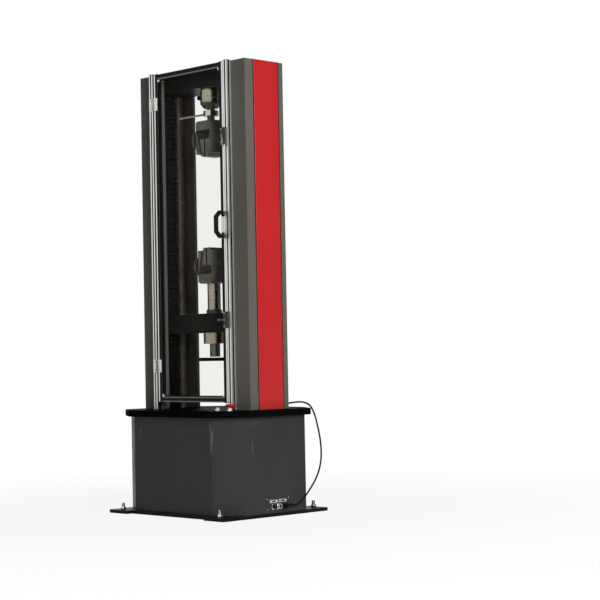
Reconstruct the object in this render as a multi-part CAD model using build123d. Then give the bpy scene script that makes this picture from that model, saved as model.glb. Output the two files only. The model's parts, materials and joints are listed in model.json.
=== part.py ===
from build123d import *
import math
import os

# Universal testing machine: two-column floor frame, moving crosshead, wedge grips and a guard door.
# Millimetres, +X to the machine's right, +Y to its back, +Z up, origin on the floor under its centre.

# Shared: how far cutters overrun, and the break on small edges
CUT = 1.0
EDGE_BREAK = 1.5

# Floor plate and levelling feet
PLATE_T = 16.0
PLATE_EDGE = 24.0
PLATE_EAR = 30.0
FOOT_INSET = 60.0
FOOT_STANDOFF = 19.0
FOOT_R = 8.0
FOOT_RISE = 32.0
FOOT_NUT_R = 13.5
FOOT_NUT_H = 13.0

# Base cabinet of folded sheet, eight-sided in plan, and its ledges beside and before the columns
COLUMN_LEDGE = 30.0
FRONT_LEDGE = 152.0
CABINET_H = 440.0
CHAMFER_X = 130.0
CHAMFER_Y = 87.0
SHEET_T = 3.0
LOUVRE_W = 150.0
LOUVRE_GAP = 75.0
LOUVRE_H = 7.0
LOUVRE_PITCH = 24.0
LOUVRE_ROWS = 7

# Table plate
TABLE_T = 30.0
TABLE_OVERHANG = 27.0

# Columns: folded covers with an open inner slot
COLUMN_H = 1604.0
COLUMN_IN = 246.0
COLUMN_W = 126.0
COLUMN_FRONT = 124.0
COLUMN_REAR = 117.0
COVER_T = 3.0
SIDE_PANEL_T = 3.0
SIDE_MARGIN_FRONT = 54.0
SIDE_MARGIN_REAR = 34.0
TIE_UP = 224.0
TIE_H = 17.0
TIE_T = 10.0
TIE_END = 30.0

# Top beam, guide columns and ball screws
BEAM_H = 84.0
BEAM_SLOT_GAP = 4.0
BEAM_END_GAP = 6.0
GUIDE_R = 25.0
GUIDE_CLEAR = 4.0
SCREW_R = 16.0
SCREW_Y = -28.0
JOURNAL_R = 12.5
JOURNAL_TOP = 40.0
JOURNAL_STEP = 8.0
HOUSING_R = 48.0
HOUSING_H = 38.0
HOUSING_BARREL_R = 30.0
HOUSING_FLANGE_T = 13.0
TABLE_HOLE_GAP = 9.0
RUN_GAP = 0.05

# Belt drive in the base
PULLEY_R = 55.0
PULLEY_W = 30.0
PULLEY_DROP = 10.0
PULLEY_RIM = 5.0
PULLEY_HOLES = 5
MOTOR_PULLEY_R = 30.0
MOTOR_Y = 110.0
MOTOR_SIDE = 130.0
MOTOR_H = 225.0
MOTOR_CORNER = 11.0
MOTOR_SHAFT_R = 11.0
MOTOR_SHAFT_IN = 40.0
BRACKET_T = 12.0
BRACKET_GAP = 15.0
BRACKET_HOLE_R = 22.0
BELT_T = 5.0
BELT_W = 24.0
BELT_GAP = 0.3
DRIVE_SIZE = (95.0, 180.0, 240.0)
DRIVE_X = -255.0
DRIVE_Y = 100.0
DRIVE_FIN_DEPTH = 12.0
DRIVE_FINS = 6

# Bellows around the screws
BELLOWS_X = 86.0
BELLOWS_Y = 96.0
BELLOWS_FOLD = 9.0
BELLOWS_WALL = 4.0
BELLOWS_PITCH = 36.0
BELLOWS_GAP = 0.2

# Moving crosshead and what it carries
CROSSHEAD_UP = 359.0
CROSSHEAD_H = 90.0
CROSSHEAD_WALL = 3.0
CROSSHEAD_FACE = 4.0
CROSSHEAD_BACK = 2.0
CROSSHEAD_TAPER = 20.0
NUT_R = 28.0
NUT_FLANGE_R = 42.0
NUT_FLANGE_T = 14.0
BUSH_R = 31.0
BUSH_FLANGE_R = 35.0
BUSH_FLANGE_T = 10.0
FIT_GAP = 0.05
ADAPTER_R = 53.0
ADAPTER_H = 52.0
SPIGOT_R = 24.5
SPIGOT_H = 62.0
CROSS_HOLE_R = 6.0
CROSS_HOLE_UP = 15.0
GRIP_BASE_R = 31.0
GRIP_BASE_H = 144.0
GRIP_BASE_FLANGE_R = 37.0
GRIP_BASE_FLANGE_H = 19.0

# Load train under the top beam
LOAD_CELL_R = 50.0
LOAD_CELL_H = 65.0
LOAD_CELL_LIP = 8.0
PLUG_SOCKET_R = 11.0
PLUG_SOCKET_L = 36.0
PLUG_SOCKET_STEP = 3.0
CONE_H = 27.0
CONE_END_R = 33.0
CONE_RIM_H = 7.0
NECK_H = 62.0
NECK_R = 18.0
NECK_DEPTH = 24.0
RING_R = 36.0
RING_H = 26.0
RING_DROP = 11.0
TOMMY_R = 5.0
TOMMY_GAP = 20.0
TOMMY_SEAT = 12.0

# Wedge grips
GRIP_R = 73.0
GRIP_FLAT = 52.0
GRIP_H = 155.0
GRIP_EDGE = 8.0
MOUTH_HALF = 26.0
WEDGE_ANGLE = 12.0
CAVITY_DEPTH = 112.0
JAW_H = 84.0
JAW_PROUD = 14.0
JAW_GAP = 8.0
JAW_HALF_Y = 44.0
JAW_CLEAR = 0.3
WHEEL_R = 46.0
WHEEL_W = 18.0
WHEEL_GAP = 3.0
WHEEL_BELOW = 72.0
WHEEL_SHAFT_R = 8.0
WHEEL_WALL = 8.0
WHEEL_SCALLOPS = 14
WHEEL_SCALLOP_R = 5.0

# Guard door of slotted profiles
PROFILE = 25.0
SLOT_W = 6.5
SLOT_LIP = 2.0
POCKET_W = 11.0
POCKET_D = 4.5
POST_INSET = 6.0
DOOR_HINGE_GAP = 12.0
DOOR_FREE_GAP = 2.5
DOOR_BACK_GAP = 0.5
DOOR_LIFT = 35.0
DOOR_DROP = 4.0
PANE_T = 6.0
PANE_BITE = 5.0
HINGE_H = 60.0
HINGE_T = 2.5
HINGE_KNUCKLE_R = 5.0
HINGE_PIN_R = 2.5
HINGE_EDGE = 1.0
HINGE_FROM_TOP = 142.0
HINGE_FROM_BOTTOM = 171.0
HANDLE_L = 123.0
HANDLE_REACH = 50.0
HANDLE_BAR = 13.0
HANDLE_W = 15.0
HANDLE_CORNER = 25.0
HANDLE_FOOT = 25.0
HANDLE_FOOT_T = 6.0
HANDLE_ABOVE_MIDDLE = 33.0
LATCH_FROM_TOP = 342.0
LATCH_FROM_BOTTOM = 378.0
LATCH_H = 76.0
LATCH_SEAT = 13.0
LATCH_PAST_PIN = 12.0
LATCH_T = 8.0
LATCH_POST_GAP = 1.0
LATCH_PIN_R = 4.0
LATCH_BOSS_R = 8.0
LATCH_BOSS_FACE = 5.0
LEVER_L = 44.0
LEVER_R = 3.5
LEVER_BALL_R = 7.0
LEVER_GAP = 0.3

# Emergency stop and push buttons on the table
ESTOP_R = 25.0
ESTOP_POST_GAP = 4.0
ESTOP_LEDGE = 61.0
ESTOP_HEAD_H = 16.0
ESTOP_NECK_R = 15.0
ESTOP_FLARE = 5.0
ESTOP_CROWN = 6.0
ESTOP_LIFT = 14.0
ESTOP_COLLAR_R = 20.0
ESTOP_COLLAR_H = 8.0
ESTOP_STEM_R = 8.0
ESTOP_TIP_R = 6.0
ESTOP_TIP_H = 9.0
BARREL_R = 11.0
BARREL_GAP = 0.3
COLLAR_BEVEL = 2.0
PLUNGER_ROOM = 8.0
BUTTON_R = 8.5
BUTTON_BEZEL_R = 13.0
BUTTON_BEZEL_H = 9.0
BUTTON_PROUD = 6.0
BUTTON_INSET = 46.0
BUTTON_OFFSETS = (-40.0, 42.0)

# Connector panel on the right side of the cabinet
PORT_PANEL_W = 144.0
PORT_PANEL_H = 58.0
PORT_PANEL_T = 2.0
PORT_PANEL_Y = 4.0
PORT_PANEL_UP = 42.0
PORT_PANEL_RIM = 6.0
PORT_W = 46.0
PORT_H = 15.0
PORT_T = 7.0
PORT_Y = (-30.0, 26.0)
PORT_UP = 13.0
SOCKET_R = 11.0
SOCKET_L = 12.0
SOCKET_RIM = 3.0
SOCKET_DEPTH = 3.0
SOCKET_Y = (-24.0, 8.0, 40.0)
SOCKET_UP = -12.0

# Signal cable from the right column's back to the connector panel
CABLE_R = 4.0
GLAND_X = 340.0
GLAND_UP = 23.0
GLAND_R = 10.0
GLAND_L = 18.0
GLAND_NUT_L = 8.0
GLAND_NECK_R = 7.0
PLUG_R = 10.0
PLUG_OUT = 20.0
PLUG_ARM = 26.0
PLUG_ARM_R = 8.0
BOOT_L = 14.0
BOOT_R = 5.5
BOOT_BASE_R = 7.5
CABLE_LEAD = 16.0
CABLE_TAIL = 19.0
BEND_SHARE = 0.45
CABLE_ROUTE = [
    (345, 166, 511), (354, 180, 513), (367, 190, 514), (384, 196, 513), (403, 196, 510),
    (424, 193, 504), (442, 192, 492), (454, 194, 473), (461, 200, 447), (462, 209, 415),
    (461, 221, 378), (460, 232, 333), (459, 238, 272), (457, 231, 221), (453, 218, 181),
    (448, 201, 148), (442, 181, 119), (436, 160, 92), (431, 141, 70), (427, 122, 54),
]

# Levels and planes worked out from the sizes above
cabinet_base = PLATE_T
cabinet_top = cabinet_base + CABINET_H
table_top = cabinet_top + TABLE_T
column_top = table_top + COLUMN_H
column_out = COLUMN_IN + COLUMN_W
shaft_x = COLUMN_IN + COLUMN_W / 2
cabinet_x = column_out + COLUMN_LEDGE
cabinet_y = COLUMN_FRONT + FRONT_LEDGE
guide_y = SCREW_Y + BELLOWS_Y / 2 + GUIDE_CLEAR + BUSH_FLANGE_R
crosshead_reach = shaft_x + NUT_FLANGE_R + CROSSHEAD_WALL
crosshead_front = SCREW_Y - NUT_FLANGE_R - CROSSHEAD_FACE
crosshead_rear = guide_y + BUSH_FLANGE_R + CROSSHEAD_BACK
slot_front = crosshead_front - BEAM_SLOT_GAP
slot_rear = crosshead_rear + BEAM_SLOT_GAP
post_in = COLUMN_IN + POST_INSET
beam_bottom = column_top - COVER_T - BEAM_H
journal_end = beam_bottom + JOURNAL_TOP
crosshead_bottom = table_top + CROSSHEAD_UP
crosshead_top = crosshead_bottom + CROSSHEAD_H
lower_mouth = crosshead_top + GRIP_BASE_H + GRIP_H
cell_bottom = beam_bottom - LOAD_CELL_H
cone_bottom = cell_bottom - CONE_H
upper_grip_top = cone_bottom - NECK_H
upper_mouth = upper_grip_top - GRIP_H
housing_bottom = cabinet_top - HOUSING_H
pulley_top = housing_bottom - PULLEY_DROP
pulley_bottom = pulley_top - PULLEY_W
post_front = -(COLUMN_FRONT + PROFILE)
door_back = -(COLUMN_FRONT + DOOR_BACK_GAP)
door_front = door_back - PROFILE
estop_y = -(COLUMN_FRONT + ESTOP_LEDGE)
button_y = -(cabinet_y - BUTTON_INSET)
door_left = -(post_in - DOOR_HINGE_GAP)
door_right = post_in - DOOR_FREE_GAP
door_bottom = table_top + DOOR_LIFT
door_top = column_top - DOOR_DROP
wedge_slope = math.tan(math.radians(WEDGE_ANGLE))
sides = (-1, 1)


def block(x, y, z):
    """Box between pairs of limits."""
    centre = ((x[0] + x[1]) / 2, (y[0] + y[1]) / 2, (z[0] + z[1]) / 2)
    return Pos(*centre) * Box(x[1] - x[0], y[1] - y[0], z[1] - z[0])


def rod_x(y, z, start, end, radius):
    """Round bar along X."""
    return Pos((start + end) / 2, y, z) * Rot(0, 90, 0) * Cylinder(radius, abs(end - start))


def rod_y(x, z, start, end, radius):
    """Round bar along Y."""
    return Pos(x, (start + end) / 2, z) * Rot(90, 0, 0) * Cylinder(radius, abs(end - start))


def rod_z(x, y, start, end, radius):
    """Round bar along Z."""
    return Pos(x, y, (start + end) / 2) * Cylinder(radius, abs(end - start))


def prism(points, bottom, top):
    """Straight prism on an outline in plan."""
    face = Pos(0, 0, bottom) * Polygon(*points, align=None)
    return extrude(face, top - bottom, dir=(0, 0, 1))


def turned(points, x=0.0, y=0.0):
    """Body of revolution about a vertical axis, from (radius, height) points."""
    return Pos(x, y, 0) * revolve(Plane.XZ * Polygon(*points, align=None), Axis.Z)


def swept_xz(points, half_y):
    """Outline in the XZ plane, carried equally to both sides along Y."""
    return extrude(Plane.XZ * Polygon(*points, align=None), half_y, both=True)


def mirrored_x(points, side):
    """Plan points for the right side, or their mirror for the left."""
    return [(side * x, y) for x, y in points]


def span(side, near, far):
    """Ordered X limits on one side of the machine."""
    return tuple(sorted((side * near, side * far)))


def save(name, *solids):
    """Write one node; several solids stay separate in it."""
    shape = solids[0] if len(solids) == 1 else Compound(children=list(solids))
    export_step(shape, f"parts/{name}.step")


def octagon(grow):
    """Corner points of the cabinet's plan with every side moved outward by grow."""
    slant = math.hypot(CHAMFER_X, CHAMFER_Y)
    normal_x = CHAMFER_Y / slant
    normal_y = CHAMFER_X / slant
    half_x = cabinet_x + grow
    half_y = cabinet_y + grow
    reach = normal_x * cabinet_x + normal_y * (cabinet_y - CHAMFER_Y) + grow
    side_y = (reach - normal_x * half_x) / normal_y
    front_x = (reach - normal_y * half_y) / normal_x
    right = [(front_x, -half_y), (half_x, -side_y), (half_x, side_y), (front_x, half_y)]
    return right + [(-x, y) for x, y in reversed(right)]


def floor_plate():
    """Black floor plate with four ears, and the levelling bolts and nuts in them."""
    edge_y = cabinet_y + PLATE_EDGE
    ear_y = edge_y + PLATE_EAR
    ear_x = cabinet_x - CHAMFER_X
    plate = block((-cabinet_x, cabinet_x), (-edge_y, edge_y), (0, PLATE_T))
    feet = []
    for side in sides:
        plate += block(span(side, ear_x, cabinet_x), (-ear_y, ear_y), (0, PLATE_T))
    for side in sides:
        for end in sides:
            x = side * (cabinet_x - FOOT_INSET)
            y = end * (cabinet_y + FOOT_STANDOFF)
            plate -= rod_z(x, y, -CUT, PLATE_T + CUT, FOOT_R + FIT_GAP)
            nut = extrude(Pos(x, y, PLATE_T) * RegularPolygon(FOOT_NUT_R, 6), FOOT_NUT_H)
            nut -= rod_z(x, y, PLATE_T - CUT, PLATE_T + FOOT_NUT_H + CUT, FOOT_R + FIT_GAP)
            bolt = rod_z(x, y, 0, PLATE_T + FOOT_RISE, FOOT_R)
            feet += [nut, chamfer(bolt.edges().group_by(Axis.Z)[-1], EDGE_BREAK)]
    save("floor_plate", plate)
    save("levelling_feet", *feet)


def cabinet():
    """Sheet panels of the base, mitred at the eight corners, with louvres at the back."""
    outer = octagon(0)
    inner = octagon(-SHEET_T)
    panels = []
    for i in range(8):
        j = (i + 1) % 8
        points = [outer[i], outer[j], inner[j], inner[i]]
        panels.append(prism(points, cabinet_base, cabinet_top))
    rear = panels[3]
    mid_z = (cabinet_base + cabinet_top) / 2
    for row in range(LOUVRE_ROWS):
        z = mid_z + (row - (LOUVRE_ROWS - 1) / 2) * LOUVRE_PITCH
        for side in sides:
            x = side * (LOUVRE_W + LOUVRE_GAP) / 2
            slot = Plane.XZ * Pos(x, z) * SlotOverall(LOUVRE_W, LOUVRE_H)
            rear -= Pos(0, cabinet_y, 0) * extrude(slot, 2 * SHEET_T, both=True)
    half_w = PORT_PANEL_W / 2 - PORT_PANEL_RIM
    half_h = PORT_PANEL_H / 2 - PORT_PANEL_RIM
    mid_z = cabinet_base + PORT_PANEL_UP
    right = panels[1] - block(
        (cabinet_x - 2 * SHEET_T, cabinet_x + CUT),
        (PORT_PANEL_Y - half_w, PORT_PANEL_Y + half_w),
        (mid_z - half_h, mid_z + half_h),
    )
    save("cabinet_front", panels[7])
    save("cabinet_rear", rear)
    save("cabinet_sides", panels[5], right)
    save("cabinet_corners", panels[0], panels[2], panels[4], panels[6])


def connector_panel():
    """Plate over the cabinet's cut-out, with two flat ports and two round sockets."""
    mid_z = cabinet_base + PORT_PANEL_UP
    face_x = cabinet_x + PORT_PANEL_T
    plate = block(
        (cabinet_x, face_x),
        (PORT_PANEL_Y - PORT_PANEL_W / 2, PORT_PANEL_Y + PORT_PANEL_W / 2),
        (mid_z - PORT_PANEL_H / 2, mid_z + PORT_PANEL_H / 2),
    )
    fittings = []
    for y in PORT_Y:
        z = mid_z + PORT_UP
        port = block(
            (face_x, face_x + PORT_T),
            (PORT_PANEL_Y + y - PORT_W / 2, PORT_PANEL_Y + y + PORT_W / 2),
            (z - PORT_H / 2, z + PORT_H / 2),
        )
        fittings.append(chamfer(port.edges().group_by(Axis.X)[-1], EDGE_BREAK))
    for y in SOCKET_Y[:-1]:
        y_mid = PORT_PANEL_Y + y
        z = mid_z + SOCKET_UP
        socket = rod_x(y_mid, z, face_x, face_x + SOCKET_L, SOCKET_R)
        end_x = face_x + SOCKET_L
        socket -= rod_x(y_mid, z, end_x - SOCKET_DEPTH, end_x + CUT, SOCKET_R - SOCKET_RIM)
        fittings.append(socket)
    save("connector_panel", plate)
    save("panel_connectors", *fittings)


def estop_x():
    """Emergency stop's X place, clear of the right door post."""
    return post_in + PROFILE + ESTOP_POST_GAP + ESTOP_R


def table_plate():
    """Thick eight-sided table with the holes for screws and controls."""
    plate = prism(octagon(TABLE_OVERHANG), cabinet_top, table_top)
    holes = [(estop_x() + dx, button_y, BARREL_R) for dx in BUTTON_OFFSETS]
    holes.append((estop_x(), estop_y, BARREL_R))
    for x, y, radius in holes:
        plate -= rod_z(x, y, cabinet_top - CUT, table_top + CUT, radius + BARREL_GAP)
    for side in sides:
        hole_r = JOURNAL_R + TABLE_HOLE_GAP
        plate -= rod_z(side * shaft_x, SCREW_Y, cabinet_top - CUT, table_top + CUT, hole_r)
    save("table_plate", plate)


def column_covers():
    """Lipped C-section covers with a folded top, and the coloured panels on their outer sides."""
    lip_in = COLUMN_IN + COVER_T
    wall_x = column_out - COVER_T
    wall_front = COLUMN_FRONT - COVER_T
    wall_rear = COLUMN_REAR - COVER_T
    section = [
        (COLUMN_IN, -COLUMN_FRONT), (column_out, -COLUMN_FRONT),
        (column_out, COLUMN_REAR), (COLUMN_IN, COLUMN_REAR),
        (COLUMN_IN, slot_rear), (lip_in, slot_rear), (lip_in, wall_rear),
        (wall_x, wall_rear), (wall_x, -wall_front), (lip_in, -wall_front),
        (lip_in, slot_front), (COLUMN_IN, slot_front),
    ]
    panels = []
    for side, word in zip(sides, ("left", "right")):
        cover = prism(mirrored_x(section, side), table_top, column_top)
        cover += block(
            span(side, COLUMN_IN, column_out),
            (-COLUMN_FRONT, COLUMN_REAR),
            (column_top - COVER_T, column_top),
        )
        save(f"column_cover_{word}", cover)
        panel = block(
            span(side, column_out, column_out + SIDE_PANEL_T),
            (-COLUMN_FRONT + SIDE_MARGIN_FRONT, COLUMN_REAR - SIDE_MARGIN_REAR),
            (table_top, column_top),
        )
        face = panel.faces().sort_by(Axis.X)[-1 if side > 0 else 0]
        panels.append(chamfer(face.edges().filter_by(Axis.Z), EDGE_BREAK))
    save("side_panels", *panels)
    tie = block(
        (-column_out + TIE_END, column_out - TIE_END),
        (COLUMN_REAR, COLUMN_REAR + TIE_T),
        (table_top + TIE_UP, table_top + TIE_UP + TIE_H),
    )
    save("rear_tie_bar", tie)


def top_beam():
    """Top beam resting on the guide columns, bored for the screws' upper journals."""
    end = column_out - COVER_T - BEAM_END_GAP
    beam = block(
        (-end, end),
        (crosshead_front, crosshead_rear),
        (beam_bottom, beam_bottom + BEAM_H),
    )
    guides = []
    for side in sides:
        x = side * shaft_x
        beam -= rod_z(x, SCREW_Y, beam_bottom - CUT, journal_end + CUT, JOURNAL_R + RUN_GAP)
        guides.append(rod_z(x, guide_y, table_top, beam_bottom, GUIDE_R))
    save("top_beam", beam)
    save("guide_columns", *guides)


def ball_screws():
    """Ball screws with their belt pulleys, running in housings under the table."""
    housings = []
    for side, word in zip(sides, ("left", "right")):
        x = side * shaft_x
        screw = turned([
            (0, pulley_bottom), (JOURNAL_R, pulley_bottom), (JOURNAL_R, table_top + JOURNAL_STEP),
            (SCREW_R, table_top + JOURNAL_STEP), (SCREW_R, beam_bottom - JOURNAL_STEP),
            (JOURNAL_R, beam_bottom - JOURNAL_STEP), (JOURNAL_R, journal_end), (0, journal_end),
        ], x, SCREW_Y)
        pulley = turned([
            (JOURNAL_R + FIT_GAP, pulley_bottom), (PULLEY_R, pulley_bottom),
            (PULLEY_R, pulley_top), (JOURNAL_R + FIT_GAP, pulley_top),
        ], x, SCREW_Y)
        for turn in range(PULLEY_HOLES):
            spoke_r = (PULLEY_R - PULLEY_RIM + JOURNAL_R) / 2
            place = Pos(x, SCREW_Y, (pulley_bottom + pulley_top) / 2) * Rot(0, 0, 360 * turn / PULLEY_HOLES)
            hole_r = (PULLEY_R - PULLEY_RIM - JOURNAL_R) / 4
            pulley -= place * Pos(spoke_r, 0, 0) * Cylinder(hole_r, PULLEY_W + 2 * CUT)
        save(f"ball_screw_{word}", screw, pulley)
        bore_r = JOURNAL_R + RUN_GAP
        flange_bottom = cabinet_top - HOUSING_FLANGE_T
        housings.append(turned([
            (bore_r, housing_bottom), (HOUSING_BARREL_R, housing_bottom),
            (HOUSING_BARREL_R, flange_bottom), (HOUSING_R, flange_bottom),
            (HOUSING_R, cabinet_top), (bore_r, cabinet_top),
        ], x, SCREW_Y))
    save("screw_bearings", *housings)


def belt_face(grow):
    """Plan of the belt's run round the two screw pulleys and the motor pulley."""
    rounds = [(side * shaft_x, SCREW_Y, PULLEY_R) for side in sides]
    rounds.append((0, MOTOR_Y, MOTOR_PULLEY_R))
    edges = []
    for x, y, radius in rounds:
        edges += (Pos(x, y) * Circle(radius + grow)).edges()
    return make_hull(edges)


def drive():
    """Servo motor hung on a bracket, its pulley, the belt and the servo drive."""
    bracket_top = pulley_bottom - BRACKET_GAP
    motor_top = bracket_top - BRACKET_T
    half = MOTOR_SIDE / 2 + BRACKET_T
    bracket = block((-half, half), (MOTOR_Y - half, MOTOR_Y + half), (motor_top, bracket_top))
    for end in sides:
        y = sorted((MOTOR_Y + end * (half - BRACKET_T), MOTOR_Y + end * half))
        bracket += block((-half, half), y, (motor_top, cabinet_top))
    bracket -= rod_z(0, MOTOR_Y, motor_top - CUT, bracket_top + CUT, BRACKET_HOLE_R)
    save("motor_bracket", bracket)
    motor = Pos(0, MOTOR_Y, motor_top - MOTOR_H / 2) * Box(MOTOR_SIDE, MOTOR_SIDE, MOTOR_H)
    motor = fillet(motor.edges().filter_by(Axis.Z), MOTOR_CORNER)
    bore_bottom = motor_top - MOTOR_SHAFT_IN - CUT
    motor -= rod_z(0, MOTOR_Y, bore_bottom, motor_top + CUT, MOTOR_SHAFT_R + RUN_GAP)
    save("servo_motor", motor)
    pulley = turned([
        (0, motor_top - MOTOR_SHAFT_IN), (MOTOR_SHAFT_R, motor_top - MOTOR_SHAFT_IN),
        (MOTOR_SHAFT_R, pulley_bottom), (MOTOR_PULLEY_R, pulley_bottom),
        (MOTOR_PULLEY_R, pulley_top), (0, pulley_top),
    ], 0, MOTOR_Y)
    save("motor_pulley", pulley)
    belt_bottom = (pulley_bottom + pulley_top - BELT_W) / 2
    belt = extrude(belt_face(BELT_GAP + BELT_T), BELT_W, dir=(0, 0, 1))
    belt -= extrude(belt_face(BELT_GAP), BELT_W, dir=(0, 0, 1))
    save("drive_belt", Pos(0, 0, belt_bottom) * belt)
    width, depth, height = DRIVE_SIZE
    box = Pos(DRIVE_X, DRIVE_Y, PLATE_T + height / 2) * Box(width, depth, height)
    fin_pitch = depth / (2 * DRIVE_FINS + 1)
    for i in range(DRIVE_FINS + 1):
        y = DRIVE_Y - depth / 2 + fin_pitch * (2 * i + 0.5)
        groove = Box(2 * DRIVE_FIN_DEPTH, fin_pitch, height + 2 * CUT)
        box -= Pos(DRIVE_X - width / 2, y, PLATE_T + height / 2) * groove
    save("servo_drive", box)


def zigzag(half, bottom, top):
    """Folded outline of a bellows wall, from one side to the other."""
    folds = max(2, round((top - bottom) / BELLOWS_PITCH))
    step = (top - bottom) / (2 * folds)
    reach = [half - BELLOWS_FOLD * (i % 2 == 0) for i in range(2 * folds + 1)]
    right = [(reach[i], bottom + i * step) for i in range(2 * folds + 1)]
    return right + [(-x, z) for x, z in reversed(right)]


def bellows(bottom, top):
    """Pleated square-section bellows round both screws."""
    solids = []
    for side in sides:
        across = extrude(Plane.XZ * Polygon(*zigzag(BELLOWS_X / 2, bottom, top), align=None),
                         BELLOWS_Y, both=True)
        along = extrude(Plane.YZ * Polygon(*zigzag(BELLOWS_Y / 2, bottom, top), align=None),
                        BELLOWS_X, both=True)
        sleeve = across & along
        shrink = 2 * (BELLOWS_FOLD + BELLOWS_WALL)
        sleeve -= Pos(0, 0, (bottom + top) / 2) * Box(
            BELLOWS_X - shrink, BELLOWS_Y - shrink, top - bottom + 2 * CUT)
        solids.append(Pos(side * shaft_x, SCREW_Y, 0) * sleeve)
    return solids


def crosshead():
    """Moving crosshead with ball nuts and guide bushes let into its ends."""
    corner = COLUMN_IN - BEAM_SLOT_GAP
    right = [
        (corner - CROSSHEAD_TAPER, -crosshead_front), (corner, crosshead_rear),
        (crosshead_reach, crosshead_rear), (crosshead_reach, crosshead_front),
    ]
    outline = [(-x, y) for x, y in reversed(right)] + right
    beam = prism(outline, crosshead_bottom, crosshead_top)
    nuts = []
    bushes = []
    low = crosshead_bottom - CUT
    high = crosshead_top + CUT
    flange_top = crosshead_bottom + NUT_FLANGE_T
    for side in sides:
        x = side * shaft_x
        beam -= rod_z(x, SCREW_Y, low, high, NUT_R + FIT_GAP)
        beam -= rod_z(x, SCREW_Y, low, flange_top, NUT_FLANGE_R + FIT_GAP)
        beam -= rod_z(x, guide_y, low, high, BUSH_R + FIT_GAP)
        bore_r = SCREW_R + RUN_GAP
        nuts.append(turned([
            (bore_r, crosshead_bottom), (NUT_FLANGE_R, crosshead_bottom),
            (NUT_FLANGE_R, flange_top), (NUT_R, flange_top), (NUT_R, crosshead_top),
            (bore_r, crosshead_top),
        ], x, SCREW_Y))
        bore_r = GUIDE_R + RUN_GAP
        bush_top = crosshead_top + BUSH_FLANGE_T
        bushes.append(turned([
            (bore_r, crosshead_bottom), (BUSH_R, crosshead_bottom), (BUSH_R, crosshead_top),
            (BUSH_FLANGE_R, crosshead_top), (BUSH_FLANGE_R, bush_top), (bore_r, bush_top),
        ], x, guide_y))
    save("moving_crosshead", beam)
    save("ball_nuts", *nuts)
    save("guide_bushes", *bushes)
    spigot_top = crosshead_bottom - ADAPTER_H
    spigot_end = spigot_top - SPIGOT_H
    adapter = turned([
        (0, crosshead_bottom), (ADAPTER_R, crosshead_bottom), (ADAPTER_R, spigot_top),
        (SPIGOT_R, spigot_top), (SPIGOT_R, spigot_end), (0, spigot_end),
    ])
    adapter -= rod_y(0, spigot_end + CROSS_HOLE_UP, -SPIGOT_R - CUT, SPIGOT_R + CUT, CROSS_HOLE_R)
    save("lower_adapter", adapter)
    base_top = crosshead_top + GRIP_BASE_H
    flange_top = crosshead_top + GRIP_BASE_FLANGE_H
    save("lower_grip_base", turned([
        (0, crosshead_top), (GRIP_BASE_FLANGE_R, crosshead_top), (GRIP_BASE_FLANGE_R, flange_top),
        (GRIP_BASE_R, flange_top), (GRIP_BASE_R, base_top), (0, base_top),
    ]))


def load_train():
    """Load cell, coned adapter with its neck, and the lock ring with its tommy bar."""
    lip_r = LOAD_CELL_R - LOAD_CELL_LIP / 2
    cell = turned([
        (0, beam_bottom), (lip_r, beam_bottom), (lip_r, beam_bottom - LOAD_CELL_LIP),
        (LOAD_CELL_R, beam_bottom - LOAD_CELL_LIP), (LOAD_CELL_R, cell_bottom), (0, cell_bottom),
    ])
    socket_z = (beam_bottom + cell_bottom) / 2
    tip_x = -LOAD_CELL_R - PLUG_SOCKET_L
    neck_r = PLUG_SOCKET_R - PLUG_SOCKET_STEP
    socket = rod_x(0, socket_z, -LOAD_CELL_R + CUT, tip_x + PLUG_SOCKET_L / 2, neck_r)
    socket += rod_x(0, socket_z, tip_x + PLUG_SOCKET_L / 2, tip_x, PLUG_SOCKET_R)
    save("load_cell", cell + socket)
    neck_end = upper_grip_top - NECK_DEPTH
    save("upper_adapter", turned([
        (0, cell_bottom), (LOAD_CELL_R, cell_bottom), (LOAD_CELL_R, cell_bottom - CONE_RIM_H),
        (CONE_END_R, cone_bottom), (NECK_R, cone_bottom), (NECK_R, neck_end), (0, neck_end),
    ]))
    ring_top = cone_bottom - RING_DROP
    ring_z = ring_top - RING_H / 2
    ring = extrude(Pos(0, 0, ring_top - RING_H) * RegularPolygon(RING_R, 8), RING_H)
    ring -= rod_z(0, 0, ring_top - RING_H - CUT, ring_top + CUT, NECK_R + RUN_GAP)
    seat_x = -RING_R + TOMMY_SEAT
    ring -= rod_x(0, ring_z, seat_x, -RING_R - CUT, TOMMY_R + FIT_GAP)
    save("lock_ring", ring)
    bar = rod_x(0, ring_z, seat_x, -COLUMN_IN + TOMMY_GAP, TOMMY_R)
    save("tommy_bar", fillet(bar.edges().group_by(Axis.X)[0], EDGE_BREAK))


def wall_x(z):
    """Half width of a grip's wedge cavity at a height below its mouth, mouth up."""
    return MOUTH_HALF - z * wedge_slope


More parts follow.
